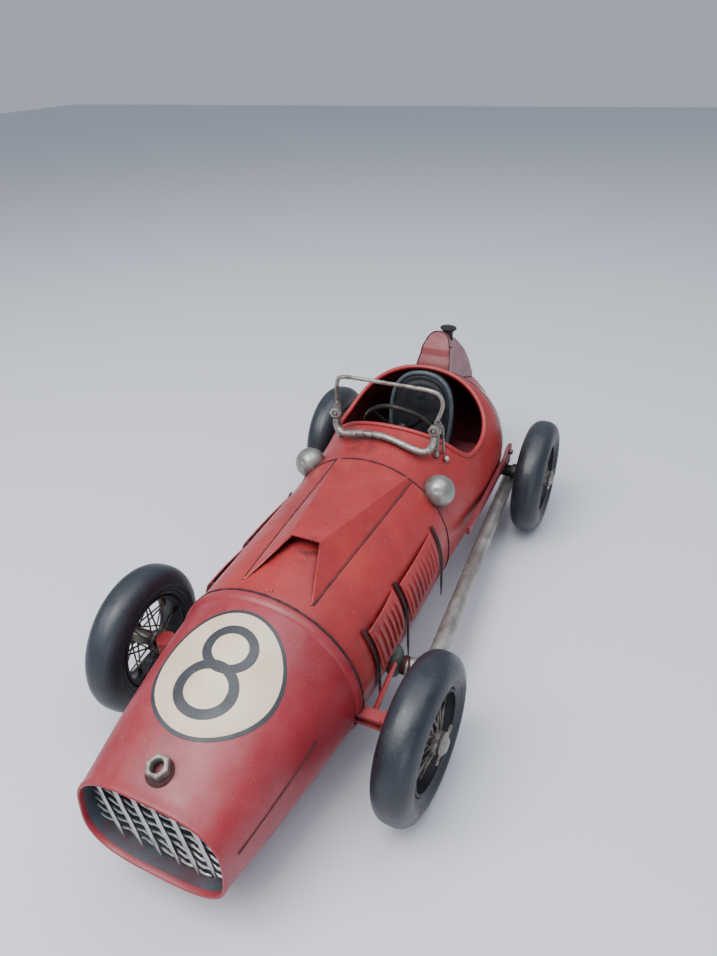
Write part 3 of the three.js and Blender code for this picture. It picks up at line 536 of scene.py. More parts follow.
LEATHER = Finish("black_hide", "#0b0e12", 0.5)
LEATHER.patches("#12161b", 120, 0.42, 0.66, 0.8).dust("#2a3036", 0.15)
LEATHER.gloss(200, 0.4, 0.62).dented(1400, 0.35).dented(240, 0.25)
PIPING = Finish("black_hide_piping", "#3f494e", 0.5)
PIPING.patches("#283035", 300, 0.45, 0.65, 0.6).gloss(300, 0.4, 0.6).dented(1500, 0.3)

BRASS = Finish("stamped_brass", "#a98a4c", 0.4, 0.85)
BRASS.patches("#6d5830", 200, 0.45, 0.65, 0.7).gloss(240, 0.3, 0.55).dented(500, 0.2)

CREAM = Finish("cream_paint_aged", "#d6c3a9", 0.5, 0.0, 0.08)
CREAM.patches("#c3ab8b", 60, 0.45, 0.7, 0.6).patches("#e2d6c2", 40, 0.5, 0.7, 0.5)
CREAM.patches("#8a6f52", 1100, 0.68, 0.74, 0.5, 2.0).gloss(120, 0.4, 0.6).dented(38, 0.3)
NUMERAL = Finish("black_paint_worn", "#2b2f35", 0.5, 0.0, 0.08)
NUMERAL.patches("#43484e", 90, 0.5, 0.7, 0.6).patches("#8a8b88", 1200, 0.69, 0.75, 0.5, 2.0)
NUMERAL.gloss(120, 0.4, 0.6).dented(38, 0.3)


# ---- Body shells ----
RIBS = 160
STATION_STEP = 2.5


def fine(profile):
    """The closed profile of (y, offset, face number), with stations added where points are far apart."""
    out = []
    for (y0, o0, number), (y1, o1, _) in zip(profile, profile[1:] + profile[:1]):
        steps = max(1, round(abs(y1 - y0) / STATION_STEP))
        for s in range(steps):
            out.append((y0 + (y1 - y0) * s / steps, o0 + (o1 - o0) * s / steps, number))
    return out


def beaten(y, angle):
    """The small unevenness of sheet shaped by hand."""
    return 0.16 * noise.noise(Vector((y * 0.045, math.cos(angle) * 1.7, math.sin(angle) * 1.7)))


def skin_row(y, offset):
    angles = [2 * math.pi * k / RIBS for k in range(RIBS)]
    return [body_point(y, a, offset + beaten(y, a)) for a in angles]


def shell(name, outer, rest, finish, cutters=()):
    """A ring of sheet: outer is the painted profile, rest the inside and the edges."""
    ring = fine([(y, o, 0) for y, o in outer] + [(y, o, 1) for y, o in rest])
    shape = Shape()
    rows = [skin_row(y, offset) for y, offset, _ in ring]
    shape.grid(rows, wrap_rows=True, wrap_columns=True, row_numbers=[n for _, _, n in ring])
    obj = piece(name + "_skin", shape, finish, "red_paint", stands_for=[name])
    carve(obj, *cutters)


def block(low, high):
    shape = Shape()
    shape.box(low, high)
    return shape


PAN_TOP = 20
AXLE_HEIGHT = 34
WHEELBASE = 202
below_pan = block((-60, -11, -5), (60, 214, PAN_TOP))
front_slot = block((-60, -4, AXLE_HEIGHT - 3.6), (60, 4, AXLE_HEIGHT + 3.6))


def sleeve_hole():
    shape = Shape(facing((0, WHEELBASE, AXLE_HEIGHT), (1, 0, 0)))
    shape.tube([(-60, 0, 0), (60, 0, 0)], 4.1, 24)
    return shape


nose_outer = [
    (-77.2, -SHEET),
    (-78.3, -1.0),
    (-78.9, -0.7),
    (-79.1, -0.1),
    (-78.8, 0.35),
    (-77.8, 0.35),
    (-76.8, 0.05),
    (-74, 0),
    (-3.2, 0),
    (-2.4, 0.9),
    (-0.8, 1.25),
    (0.8, 0.9),
    (1.2, 0),
]
shell("nose_shell", nose_outer, [(1.2, -SHEET), (-77.2, -SHEET)], [NOSE_RED, SHADED_NOSE_INSIDE.material],
      (below_pan, front_slot))
shell("bonnet_shell", [(1.5, 0), (103.2, 0)], [(103.2, -SHEET), (1.5, -SHEET)],
      [RED, SHADED_INSIDE.material], (below_pan, front_slot))

COCKPIT_EDGE = (
    (134, 89.5),
    (139, 83),
    (143, 76),
    (149, 72),
    (160, 72.3),
    (170, 74.5),
    (179, 80),
    (186, 89),
    (190, 96),
    (191.5, 100),
)
edge_side = [(p.y, p.z) for p in smooth_line([(0, y, z) for y, z in COCKPIT_EDGE], 40)]
opening = Shape()
outline = [(edge_side[0][0], 115)] + edge_side[::8] + [(edge_side[-1][0], 115)]
opening.add([(60, y, z) for y, z in outline] + [(-60, y, z) for y, z in outline], [])
count = len(outline)
opening.faces = [tuple(range(count)), tuple(range(2 * count - 1, count - 1, -1))]
opening.faces += [(k, k + count, (k + 1) % count + count, (k + 1) % count) for k in range(count)]
opening.numbers = [0] * len(opening.faces)
shell("cowl_shell", [(103.7, 0), (199.7, 0)], [(199.7, -SHEET), (103.7, -SHEET)],
      [RED, SHADED_INSIDE.material], (opening, below_pan, sleeve_hole()))


tip = [(288, 0), (289, -1.2), (289.8, -2.6), (289.8, -3.6), (287, -3.6)]
shell("tail_shell", [(200, 0)] + tip, [(282, -SHEET), (200, -SHEET)], [RED, SHADED_INSIDE.material],
      (below_pan, sleeve_hole()))


def even_loop(loop, wanted):
    """The closed loop's points spread evenly and eased."""
    lengths = [0.0]
    for a, b in zip(loop, loop[1:] + loop[:1]):
        lengths.append(lengths[-1] + (b - a).length)
    loop = loop + loop[:1]
    places = []
    i = 0
    for k in range(wanted):
        reach = lengths[-1] * k / wanted
        while lengths[i + 1] < reach:
            i += 1
        part = (reach - lengths[i]) / (lengths[i + 1] - lengths[i])
        places.append(loop[i].lerp(loop[i + 1], part))
    for _ in range(2):
        places = [
            (places[k - 1] + places[k] * 2 + places[(k + 1) % wanted]) / 4 for k in range(wanted)
        ]
    return places


def cockpit_rim():
    half = []
    count = 400
    for s in range(count + 1):
        t = (0.5 - 0.5 * math.cos(math.pi * s / count)) * (len(edge_side) - 1)
        i = min(len(edge_side) - 2, int(t))
        y = edge_side[i][0] + (edge_side[i + 1][0] - edge_side[i][0]) * (t - i)
        z = edge_side[i][1] + (edge_side[i + 1][1] - edge_side[i][1]) * (t - i)
        if z < top_at(0, y):
            half.append(Vector((half_width_at(y, z), y, z)))
    half.insert(0, Vector((0, half[0].y, top_at(0, half[0].y))))
    half.append(Vector((0, half[-1].y, top_at(0, half[-1].y))))
    loop = half + [Vector((-p.x, p.y, p.z)) for p in reversed(half[1:-1])]
    shape = Shape()
    shape.tube(even_loop(loop, 180), 1.35, 12, closed=True)
    piece("cockpit_rim", shape, RED, "red_paint")


cockpit_rim()


def on_body(x, y, lift=0.0):
    """The point of the body's top side above (x, y)."""
    station = y
    for _ in range(4):
        z = top_at(x, station)
        lean = LEAN * min(1, max(0, (LEAN_END - station) / (LEAN_END - NOSE_FRONT)))
        station = y - lean * (z - section(station, "middle"))
    return Vector((x, y, top_at(x, station) + lift))


def on_side(side, y, z, lift=0.0):
    return Vector((side * (half_width_at(y, z) + lift), y, z))


def seam(name, path, radius=0.4, finish=DARK_LINE.material, slot="dark_red_paint", wavy=0.0):
    """A thin solder line that follows the sheet."""
    points = [Vector(p) for p in path]
    if wavy:
        points = [p + noise.noise_vector(p * 0.35) * wavy for p in points]
    radii = [radius * (1 + 0.35 * noise.noise(p * 0.5)) for p in points]
    shape = Shape()
    shape.tube(points, radii, 6)
    piece(name, shape, finish, slot)


def ring_path(y, first, last, count, lift):
    return [body_point(y, first + (last - first) * k / count, lift) for k in range(count + 1)]


# ---- Seams, folds and solder marks ----
seam("nose_seam", ring_path(1.5, -2.1, 2.1, 150, 0.45), 0.75, wavy=0.35)
seam("cowl_seam", ring_path(103.5, -2.0, 2.0, 150, 0.1), 0.42, wavy=0.15)
seam("tail_seam", ring_path(199.9, -2.2, 2.2, 150, 0.1), 0.35, wavy=0.1)
for side, name in SIDES:
    fold = [body_point(-72 + 44 * k / 24, side * (1.5 - 0.16 * k / 24), 0.05) for k in range(25)]
    seam(f"nose_fold_{name}", fold, 0.32, wavy=0.1)


# ---- Painted discs ----
def disc(name, at, radius, finish, slot, inner=0.0, thick=0.14, steps=64, rings=16):
    """A round patch of paint: at(u, v, lift) gives the surface under it."""
    start = max(inner, radius * 0.001)
    grids = []
    for lift in (thick, 0.02):
        rows = []
        for i in range(rings + 1):
            r = start + (radius - start) * i / rings
            angles = [2 * math.pi * k / steps for k in range(steps)]
            rows.append([at(r * math.cos(a), r * math.sin(a), lift) for a in angles])
        grids.append(rows)
    shape = Shape()
    shape.grid(grids[0] + grids[1][::-1], wrap_rows=True, wrap_columns=True)
    piece(name, shape, finish, slot)


ROUNDEL = (1, -31.5)
ROUNDEL_RADIUS = 24.6
BORDER = 1.4


def nose_place(u, v, lift):
    return on_body(ROUNDEL[0] + u, ROUNDEL[1] + v, lift)


cream = (CREAM.material, "cream_paint")
black = (NUMERAL.material, "black_paint")
disc("nose_roundel", nose_place, ROUNDEL_RADIUS - BORDER, *cream)
disc("nose_roundel_border", nose_place, ROUNDEL_RADIUS, *black, inner=ROUNDEL_RADIUS - BORDER, rings=2)


def digit_ring(name, centre, half_wide, half_long, stroke):
    """One plain ring of the race number, wider across its sides than at its ends."""

    def at(u, v, lift):
        r = math.hypot(u, v)
        c, s = (u / r, v / r) if r else (0, 0)
        inside = stroke - 0.6 * abs(s)
        reach_u = half_wide - inside * (1 - r)
        reach_v = half_long - inside * (1 - r)
        return nose_place(centre[0] + c * reach_u, centre[1] + s * reach_v, lift + 0.14)

    disc(name, at, 1.0, *black, inner=0.001, thick=0.14, rings=5)


digit_ring("numeral_upper_ring", (0.2, 8.4), 11.0, 9.3, 3.9)
digit_ring("numeral_lower_ring", (-0.4, -7.4), 12.4, 10.6, 4.1)

TAIL_ROUNDEL = (214, 66)
TAIL_ROUNDEL_RADIUS = 22
for side, name in SIDES:

    def tail_place(u, v, lift, side=side):
        return on_side(side, TAIL_ROUNDEL[0] + u, TAIL_ROUNDEL[1] + v, lift)

    disc(f"tail_roundel_{name}", tail_place, TAIL_ROUNDEL_RADIUS - BORDER, *cream)
    disc(f"tail_roundel_border_{name}", tail_place, TAIL_ROUNDEL_RADIUS, *black,
         inner=TAIL_ROUNDEL_RADIUS - BORDER, rings=2)


# ---- Bonnet scoop ----
def scoop():
    rear = 102.4
    lip_y = 33
    lip_z = top_at(10, lip_y) + 6.3
    grids = []
    for wall in (0.0, 0.9):
        rows = []
        for i in range(25):
            t = i / 24
            row = []
            base = []
            for x0, x1 in ((-12.8, -16.6), (18.8, 23.2)):
                x = x0 + (x1 - x0) * t
                y = 8 + (rear - 8) * t
                base.append(Vector((x - math.copysign(wall, x - 3), y, top_at(x, y) + 0.35)))
            fold = []
            for x0, x1 in ((-4, -15.4), (10, 22)):
                x = x0 + (x1 - x0) * t
                y = lip_y + (rear - lip_y) * t
                crest = lip_z + (top_at(x1, rear) + 1.5 - lip_z) * t
                fold.append(Vector((x - math.copysign(wall * 0.7, x - 3), y, crest - wall)))
            row += [base[0].lerp(fold[0], k / 6) for k in range(6)]
            row += [fold[0].lerp(fold[1], k / 10) for k in range(10)]
            row += [fold[1].lerp(base[1], k / 6) for k in range(7)]
            if i == 0:
                for k, p in enumerate(row):
                    p.z += 0.25 * noise.noise(Vector((k * 0.7, 0, 0)))
            rows.append(row)
        grids.append(rows)
    shape = Shape()
    shape.slab(*grids)
    piece("scoop_sheet", shape, RED, "red_paint", stands_for=["bonnet_scoop"], bevel=0.22, sharp=24)
    for number, (x, y) in enumerate(((18, 8.1), (2.2, 5.2), (-12.6, 9))):
        rivet(f"scoop_rivet_{number}", on_body(x, y), (0.1, -0.1, 1), 0.9)
    for number, (x0, x1) in enumerate(((-13.2, -17.2), (19.2, 23.8))):
        line = [on_body(x0 + (x1 - x0) * k / 40, 8 + (rear - 8) * k / 40, 0.1) for k in range(41)]
        seam(f"scoop_seam_{number}", line, 0.3, wavy=0.12)


def rivet(name, centre, axis, radius, finish=None, slot="red_paint"):
    profile = [(-0.6, 0.01), (-0.6, radius), (0.15, radius), (0.5, radius * 0.72), (0.66, radius * 0.3)]
    profile.append((0.68, 0.01))
    shape = Shape(facing(centre, axis))
    shape.spun(profile, 20)
    piece(name, shape, finish or RED, slot)


scoop()


# ---- Louvres, and straps partly painted shadow ----
STRAPS = (14.4, 45.4, 89.5)
STRAP_TIPS = (23.8, 20.6, 21.4)


# A dark strip down the body's side, partly a tin strip and partly painted shadow. The two ahead of the
# louvre panels stand where the panels' raised front edges cast shadow.
def strap_and_shadow(name, side, front, tip, stands_for=()):
    path = []
    for k in range(33):
        z = 64 + (tip - 64) * k / 32
        level = max(z, section(front, "middle") - 3)
        path.append(on_side(side, front + 1.5 + 1.2 * (k / 32) ** 2, level, 1.0))
        path[-1].z = z
    shape = Shape()
    widths = [1.15 - 0.6 * max(0, k - 26) / 6 for k in range(33)]
    shape.tube(path, widths, 12, flat=0.42, up=(side, 0, 0))
    piece(name, shape, DARK_LINE.material, "dark_steel", stands_for=stands_for)


def louvre_flap(name, side, front, back, stands_for):
    pitch = 4.2
    steps = 108
    grids = []
    for wall in (0.0, 0.7):
        rows = []
        for i in range(steps + 1):
            y = front + (back - front) * i / steps
            along = (y - front) / (back - front)
            lift = 2.6 - 1.5 * along + 0.5 * math.sin(math.pi * along)
            row = []
            for k in range(17):
                z = 43.4 + 19.2 * k / 16
                within = min(1, max(0, min(k, 16 - k) - 1) / 2)
                phase = ((y - front - 1.6) / pitch) % 1.0
                inset = 1.6 < y - front < back - front - 1.6
                slat = within * 0.85 * max(0, 1 - phase * 1.25) if inset else 0
                row.append(on_side(side, y, z, lift + slat - wall))
            rows.append(row)
        grids.append(rows)
    shape = Shape()
    shape.slab(*grids)
    piece(name, shape, RED, "red_paint", stands_for=stands_for, sharp=50)


for side, name in SIDES:
    louvre_flap(f"louvres_front_{name}", side, 17, 43.6, [f"louvre_flap_front_{name}"])
    louvre_flap(f"louvres_rear_{name}", side, 48, 87.6, [f"louvre_flap_rear_{name}"])
    for number, (front, tip) in enumerate(zip(STRAPS, STRAP_TIPS)):
        replaced = [f"side_strap_{name}"] if number == 2 else []
        strap_and_shadow(f"flap_strap_and_shadow_{number}_{name}", side, front, tip, replaced)
    lower = [on_side(side, 10 + 150 * k / 60, 22 + 5.5 * k / 60, 0.1) for k in range(61)]
    seam(f"side_fold_{name}", lower, 0.3, wavy=0.1)


# ---- Nose grille and nut ----
def nose_lip_height(x, upper):
    station = -73
    middle = section(station, "middle")
    half = section(station, "half") - SHEET
    if upper:
        reach = section(station, "top") - middle - SHEET
    else:
        reach = middle - section(station, "bottom") - SHEET
    rise = reach * (1 - min(1, abs(x) / half) ** 3) ** (1 / 3)
    return middle + rise if upper else middle - rise


def grille():
    middle = section(-73, "middle")
    shape = Shape()
    for i in range(-3, 4):
        top_x = 1.2 + i * 8.1 - 4.6
        points = []
        for k in range(17):
            z = 56.4 - (56.4 - 25.4) * k / 16
            x = top_x + (56.4 - z) * 0.33
            if abs(x) > 27 or z > nose_lip_height(x, True) + 0.4 or z < nose_lip_height(x, False) + 1:
                continue
            sway = 0.25 * noise.noise(Vector((x * 0.2, z * 0.2, i)))
            points.append((x + sway, -73.9 + LEAN * (z - middle) + 0.2 * sway, z))
        count = len(points)
        widths = [1.15 * (1 if k < count - 3 else (count - k) / 4) for k in range(count)]
        shape.tube(points, widths, 8, flat=0.34, up=(0, -1, 0))
    for row in range(-4, 4):
        height = 3.9 * row + 3.2
        path = []
        for k in range(49):
            x = -29 + 58 * k / 48
            z = middle + height - 0.12 * x
            if z > nose_lip_height(x, True) - 0.2 or z < nose_lip_height(x, False) + 0.4:
                continue
            a = k * 1.1
            path.append((x, -72.9 + LEAN * (z - middle) + 0.22 * math.cos(a), z + 0.22 * math.sin(a)))
        shape.tube(path, [0.42 + 0.1 * math.sin(k * 2.2) for k in range(len(path))], 6)
    piece("grille_bars", shape, BRIGHT.material, "bright_steel", stands_for=["grille"])


grille()


def hexagon(name, centre, axis, across, bore, thick, finish, slot, stands_for=()):
    """A worn hexagon nut with its threaded hole and washer faces."""
    shape = Shape(facing(centre, axis))
    corner = across / math.sqrt(3)
    rows = []
    for x, grow in ((-0.5, 0.9), (-0.42, 1), (0.42, 1), (0.5, 0.9)):
        row = []
        for k in range(48):
            a = 2 * math.pi * k / 48
            wedge = (k % 8) / 8 * math.pi / 3 - math.pi / 6
            r = corner * math.cos(math.pi / 6) / math.cos(wedge) * grow
            row.append((x * thick, r * math.cos(a), r * math.sin(a)))
        rows.append(row)
    for k in range(13):
        x = 0.5 - k / 12
        r = bore / 2 * (1.12 if k in (0, 12) else 1 + 0.06 * (k % 2))
        angles = [2 * math.pi * n / 48 for n in range(48)]
        rows.append([(x * thick, r * math.cos(a), r * math.sin(a)) for a in angles])
    shape.grid(rows, wrap_rows=True, wrap_columns=True)
    return piece(name, shape, finish, slot, stands_for=stands_for)


nut_seat = on_body(0.8, -67)
hexagon("nose_nut_hex", nut_seat + Vector((0, -0.3, 2.2)), (0, -0.24, 1), 7.4, 4.6, 3.6, AGED.material,
        "aged_steel", stands_for=["nose_nut"])
# A ring of solder round the nut's foot, dark partly as painted shade under the nut.
collar = Shape(facing(nut_seat + Vector((0, 0, -0.4)), (0, -0.24, 1)))
collar.spun([(0, 2.7), (0, 5.0), (0.5, 5.1), (0.95, 4.6), (1.0, 2.7)], 48)
piece("nose_nut_solder_and_shade", collar, DARK_LINE.material, "dark_red_paint")


# ---- Headlamps ----
for side, name in SIDES:
    centre = Vector((side * 36, 109.2, 72.9))
    shape = Shape(facing(centre, (side * 0.12, -0.86, 0.5)))
    profile = []
    for k in range(33):
        a = math.pi * k / 32
        r = 8 * math.sin(a)
        x = 8 * math.cos(a)
        x -= 0.45 * math.exp(-((r / 1.1) ** 2)) * (1 if x > 0 else 0)
        r += 0.16 * math.exp(-(((k - 14) / 0.8) ** 2))
        profile.append((x, max(r, 0.01)))
    shape.spun(profile, 72)
    lamp = piece(f"headlamp_ball_{name}", shape, LAMP.material, "bright_steel",
                 stands_for=[f"headlamp_{name}"], sharp=60)
    foot = centre + Vector((-side * 5.6, 1.6, -4.6))
    shape = Shape(facing(foot, (side * 0.8, -0.2, 0.6)))
    shape.spun([(-2, 0.01), (-2, 4.6), (0.4, 4.4), (1.8, 3.6), (2.4, 0.01)], 40)
    piece(f"headlamp_seat_{name}", shape, DEEP_RED, "red_paint")


# ---- Windscreen ----
def hammered(points, radius, amount=0.08):
    return [radius * (1 + amount * noise.noise(Vector(p) * 1.3)) for p in points]


upper_wire = smooth_line(
    [(-27.5, 127.6, 101), (-27.6, 127.6, 106), (-27.5, 127.6, 111), (-26.2, 127.4, 115.6),
     (-22, 127.2, 117.2),
     (-12, 127, 117.6), (0, 127, 117.6), (12, 127, 117.6), (23.4, 127.2, 117.2), (28.4, 127.4, 115.4),
     (30.2, 127.6, 111), (29.4, 127.6, 106), (27.5, 127.6, 101)], 10)
shape = Shape()
shape.tube(upper_wire, hammered(upper_wire, 1.05), 12)
piece("windscreen_upper_wire", shape, AGED.material, "aged_steel", stands_for=["windscreen_frame"])
lower_tube = smooth_line(
    [(-27.3, 124.6, 93.6), (-26.9, 123.8, 90.6), (-25.2, 123, 88.2), (-22.2, 122.3, 87.1), (-17, 122, 87.9),
     (-9, 122, 89.4), (0, 122, 89.8), (9, 121.2, 88.6), (17, 120.6, 86.7), (22.6, 120.8, 85.9),
     (25.8, 121.8, 87.1),
     (27.2, 123.4, 90.2), (27.3, 124.6, 93.6)], 10)
shape = Shape()
shape.tube(lower_tube, hammered(lower_tube, 1.8), 16)
piece("windscreen_lower_tube", shape, AGED.material, "aged_steel", stands_for=["windscreen_tube"])
for side, name in SIDES:
    hexagon(f"windscreen_nut_hex_{name}", (side * 27.3, 124.2, 97.2), (0, -1, 0), 5.5, 2.6, 2.4,
            AGED.material, "aged_steel", stands_for=[f"windscreen_nut_{name}"])
    shape = Shape()
    foot = top_at(27.5, 128.4) + 0.9
    post = smooth_line(
        [(side * 27.5, 128.4, foot), (side * 27.7, 128.2, 94), (side * 27.6, 127.9, 100.6)], 14)
    shape.tube(post, [1.45 + 0.22 * math.sin(k * 1.9) for k in range(len(post))], 12)
    collar_path = [(side * 28, 128.2 - 0.08 * k, 94 + 0.8 * k) for k in range(9)]
    shape.tube(collar_path, [1.7, 2.0, 2.0, 1.75, 2.0, 2.0, 1.75, 2.0, 1.8], 16)
    shape.tube([(side * 27.3, 128, 97), (side * 27.3, 123.3, 97), (side * 27.3, 123.0, 97)],
               [0.95, 0.95, 0.6], 16)
    stay = smooth_line([(side * 29, 128.2, 99), (side * 29.5, 131.4, 95), (side * 29.6, 134.2,
                        top_at(29.6, 134.2) + 0.9)], 10)
    shape.tube(stay, 0.8, 10)
    piece(f"windscreen_clamp_{name}", shape, AGED.material, "aged_steel",
          stands_for=[f"windscreen_post_{name}"])
    base = Vector((side * 32, 131.4, top_at(32, 131.4) + 0.6))
    shape = Shape(facing(base, (side * 0.3, 0, 1)))
    head = [(1.2 + 1.5 * math.sin(a * math.pi / 16 - math.pi / 2), max(0.01, 1.5 * math.cos(
        a * math.pi / 16 - math.pi / 2))) for a in range(2, 17)]
    shape.spun([(-1.2, 0.01), (-1.2, 0.9), (0.1, 0.9)] + head, 24)
    if side > 0:
        piece("windscreen_screw", shape, BRIGHT.material, "bright_steel")


# ---- Seat, in hide ----
def cushion_shape(outline, centre, thickness, to_space, back_crown=0.0, channels=0):
    """A stuffed form inside a flat outline: rings of points from its edge to its centre, front and back."""
    outline = [Vector((x, z)) for x, z in outline]
    centre = Vector(centre)
    rings = 22
    front = []
    back = []
    for i in range(rings):
        r = 1 - (i / (rings - 1)) ** 1.25 * 0.985
        face = []
        rear = []
        for p in outline:
            q = centre + (p - centre) * r
            depth = (1 - r) * (p - centre).length
            crown = thickness * (0.5 + 0.5 * (1 - math.exp(-depth / 2.2)))
            crown -= 0.16 * thickness * math.exp(-(((depth - 4.6) / 0.7) ** 2))
            if channels:
                phase = math.cos(math.pi * q.x / channels)
                crown -= 0.1 * thickness * max(0, -phase) ** 6 * min(1, max(0, depth - 5) / 3)
            crown += 0.05 * thickness * noise.noise(Vector((q.x * 0.16, q.y * 0.16, 3)))
            face.append(to_space(q.x, q.y, crown))
            rear.append(to_space(q.x, q.y, -back_crown * (1 - math.exp(-depth / 3))))
        front.append(face)
        back.append(rear)
    edge = [to_space(*(centre + (p - centre) * 1.008), thickness * 0.25) for p in outline]
    shape = Shape()
    shape.grid(front[::-1] + [edge] + back, wrap_columns=True)
    count = len(outline)
    shape.faces.append(tuple(range(count)))
    last = len(shape.points) - count
    shape.faces.append(tuple(range(last + count - 1, last - 1, -1)))
    shape.numbers += [0, 0]
    return shape


def arch_outline():
    points = [(-17, 0.8), (-18.2, 8), (-18.9, 18), (-18.7, 27), (-17.2, 34.5), (-14, 40.4)]
    points += [(-9, 44.2), (-3, 45.8)]
    right = [(-x, z) for x, z in points[::-1]]
    return [(p.x, p.y) for p in smooth_line([(x, z, 0) for x, z in points + right], 6)]


SEAT_FOOT = (0, 182.4, 52.6)
SEAT_TILT = 0.16


def seat_place(x, z, forward):
    c, s = math.cos(SEAT_TILT), math.sin(SEAT_TILT)
    hollow = 0.9 * (1 - (x / 19) ** 2)
    reach = forward - hollow
    return (x, SEAT_FOOT[1] + z * s - reach * c, SEAT_FOOT[2] + z * c + reach * s)


arch = arch_outline()
foot_line = [(17 - 34 * k / 18, 0.8) for k in range(1, 18)]
seat = cushion_shape(arch + foot_line, (0, 22), 6.2, seat_place, 0.4)
seat_back = piece("seat_back_hide", seat, LEATHER.material, "black_leather",
                  stands_for=["seat_back"], sharp=70)
shape = Shape()
shape.tube([seat_place(x * 0.985, z * 0.985 + 0.2, 5.0) for x, z in arch], 1.35, 12)
piece("seat_back_piping", shape, PIPING.material, "black_leather")

SQUAB = (0, 163.4, 51.2)


def squab_place(x, y, up):
    return (x, SQUAB[1] + y, SQUAB[2] + max(0.0, up))


squab_outline = []
for k in range(72):
    a = 2 * math.pi * k / 72
    squab_outline.append((16.3 * rounded(math.cos(a), 5), 11.4 * rounded(math.sin(a), 5)))
squab = cushion_shape(squab_outline, (0, 0), 5.6, squab_place, 0.0, 5.6)
seat_cushion = piece("seat_cushion_hide", squab, LEATHER.material, "black_leather",
                     stands_for=["seat_cushion"], sharp=70)
shape = Shape()
shape.tube([squab_place(x * 0.99, y * 0.99, 3.2) for x, y in squab_outline], 0.9, 10, closed=True)
piece("seat_cushion_piping", shape, PIPING.material, "black_leather")


# ---- Steering wheel ----
steering = joints["steering_spin"]
wheel_centre = from_row(steering["pos_m"])
wheel_axis = Vector(steering["axis"])
shape = Shape(facing(wheel_centre, wheel_axis))
rim_path = [(0.25 * math.sin(6 * a), 20.8 * math.cos(a), 20.8 * math.sin(a))
            for a in [2 * math.pi * k / 96 for k in range(96)]]
shape.tube(rim_path, [1.25 + 0.1 * math.sin(k * 3) for k in range(96)], 14, closed=True)
for k in range(4):
    a = math.pi / 4 + k * math.pi / 2
    spoke = []
    for t in range(9):
        reach = 2 + 18.4 * t / 8
        spoke.append((-0.7 * math.sin(math.pi * t / 8), reach * math.cos(a), reach * math.sin(a)))
    shape.tube(spoke, 1.2, 10, flat=0.5, up=(1, 0, 0))
shape.spun([(-1.5, 1.95), (-1.5, 3.4), (-0.9, 3.7), (0.9, 3.7), (1.5, 3.2), (1.5, 1.95)], 40)
piece("steering_wheel_ring", shape, BLACKED.material, "dark_steel", "steering", ["steering_wheel"])


# ---- Headrest fairing and cap ----
FIN_FRONT = 199.4
FIN_REAR = 284
RIDGE = smooth_line([(0, 211, 114.7), (0, 219, 111.8), (0, 230, 105.4), (0, 240, 99.6), (0, 248, 94.3),
                     (0, 258, 87.2), (0, 266, 80.3), (0, 275, 71), (0, 283, 60.6)], 5)
FIN_LEAN = 11.6


def fin_row(n, wall):
    """An arch over the tail: upright behind, and leaning back up the front face."""
    crest = RIDGE[n]
    part = n / (len(RIDGE) - 1)
    lean = FIN_LEAN * (1 - part) ** 1.5
    foot_y = crest.y - lean
    foot_half = 10.5 + (2 - 10.5) * (foot_y - FIN_FRONT) / (FIN_REAR - FIN_FRONT)
    ground = top_at(0, foot_y) - 0.4
    half = foot_half * (1 - 0.0125 * max(0, crest.z - ground)) - wall
    row = []
    for k in range(49):
        a = -math.pi / 2 + math.pi * k / 48
        across = rounded(math.sin(a), 3.0)
        up = rounded(math.cos(a), 3.0)
        wide = (foot_half - wall) + (half - foot_half + wall) * up
        y = foot_y + lean * up ** 1.3
        base = top_at(wide * across, y) - 0.35 if up < 0.5 else ground
        row.append((wide * across, y, base + (crest.z - wall - base) * up))
    return row


def fin():
    count = len(RIDGE)
    shape = Shape()
    shape.slab([fin_row(n, 0.0) for n in range(count)], [fin_row(n, 1.0) for n in range(count)])
    piece("fin_sheet", shape, SIDE_RED, "red_paint", stands_for=["headrest_fin"], sharp=40)
    edge = fin_row(0, 0.35)
    plates = []
    for back in (0.0, 0.9):
        rows = []
        for k in range(25):
            left, right_end = Vector(edge[k]), Vector(edge[48 - k])
            row = []
            for t in range(13):
                push = back - 0.35 * math.sin(math.pi * t / 12)
                row.append(tuple(left.lerp(right_end, t / 12) + Vector((0, push, 0))))
            rows.append(row)
        plates.append(rows)
    shape = Shape()
    shape.slab(*plates)
    piece("fin_front_face", shape, DEEP_RED, "red_paint", sharp=40)
    shape = Shape()
    line = [Vector(p) + Vector((0, -0.1, 0)) for p in fin_row(0, 0.1)]
    shape.tube(line, [0.3 + 0.16 * noise.noise(p * 0.4) for p in line], 8)
    piece("fin_front_seam", shape, DARK_LINE.material, "dark_red_paint")
    for side, name in SIDES:
        foot = []
        for n in range(0, count - 2):
            p = Vector(fin_row(n, 0.0)[48 if side > 0 else 0])
            foot.append(p + Vector((side * 0.15, 0, 0.35)))
        shape = Shape()
        shape.tube(foot, [0.42 + 0.15 * noise.noise(p * 0.3) for p in foot], 8)
        piece(f"fin_foot_seam_{name}", shape, DARK_LINE.material, "dark_red_paint")
        # A dark dome stands for each hole in the fin: painted shade inside the hole.
        hole = Vector(fin_row(2, 0.0)[40 if side > 0 else 8])
        rivet(f"fin_hole_shade_{name}", hole, (side, 0, 0.1), 0.7, DARK_LINE.material, "dark_red_paint")


fin()


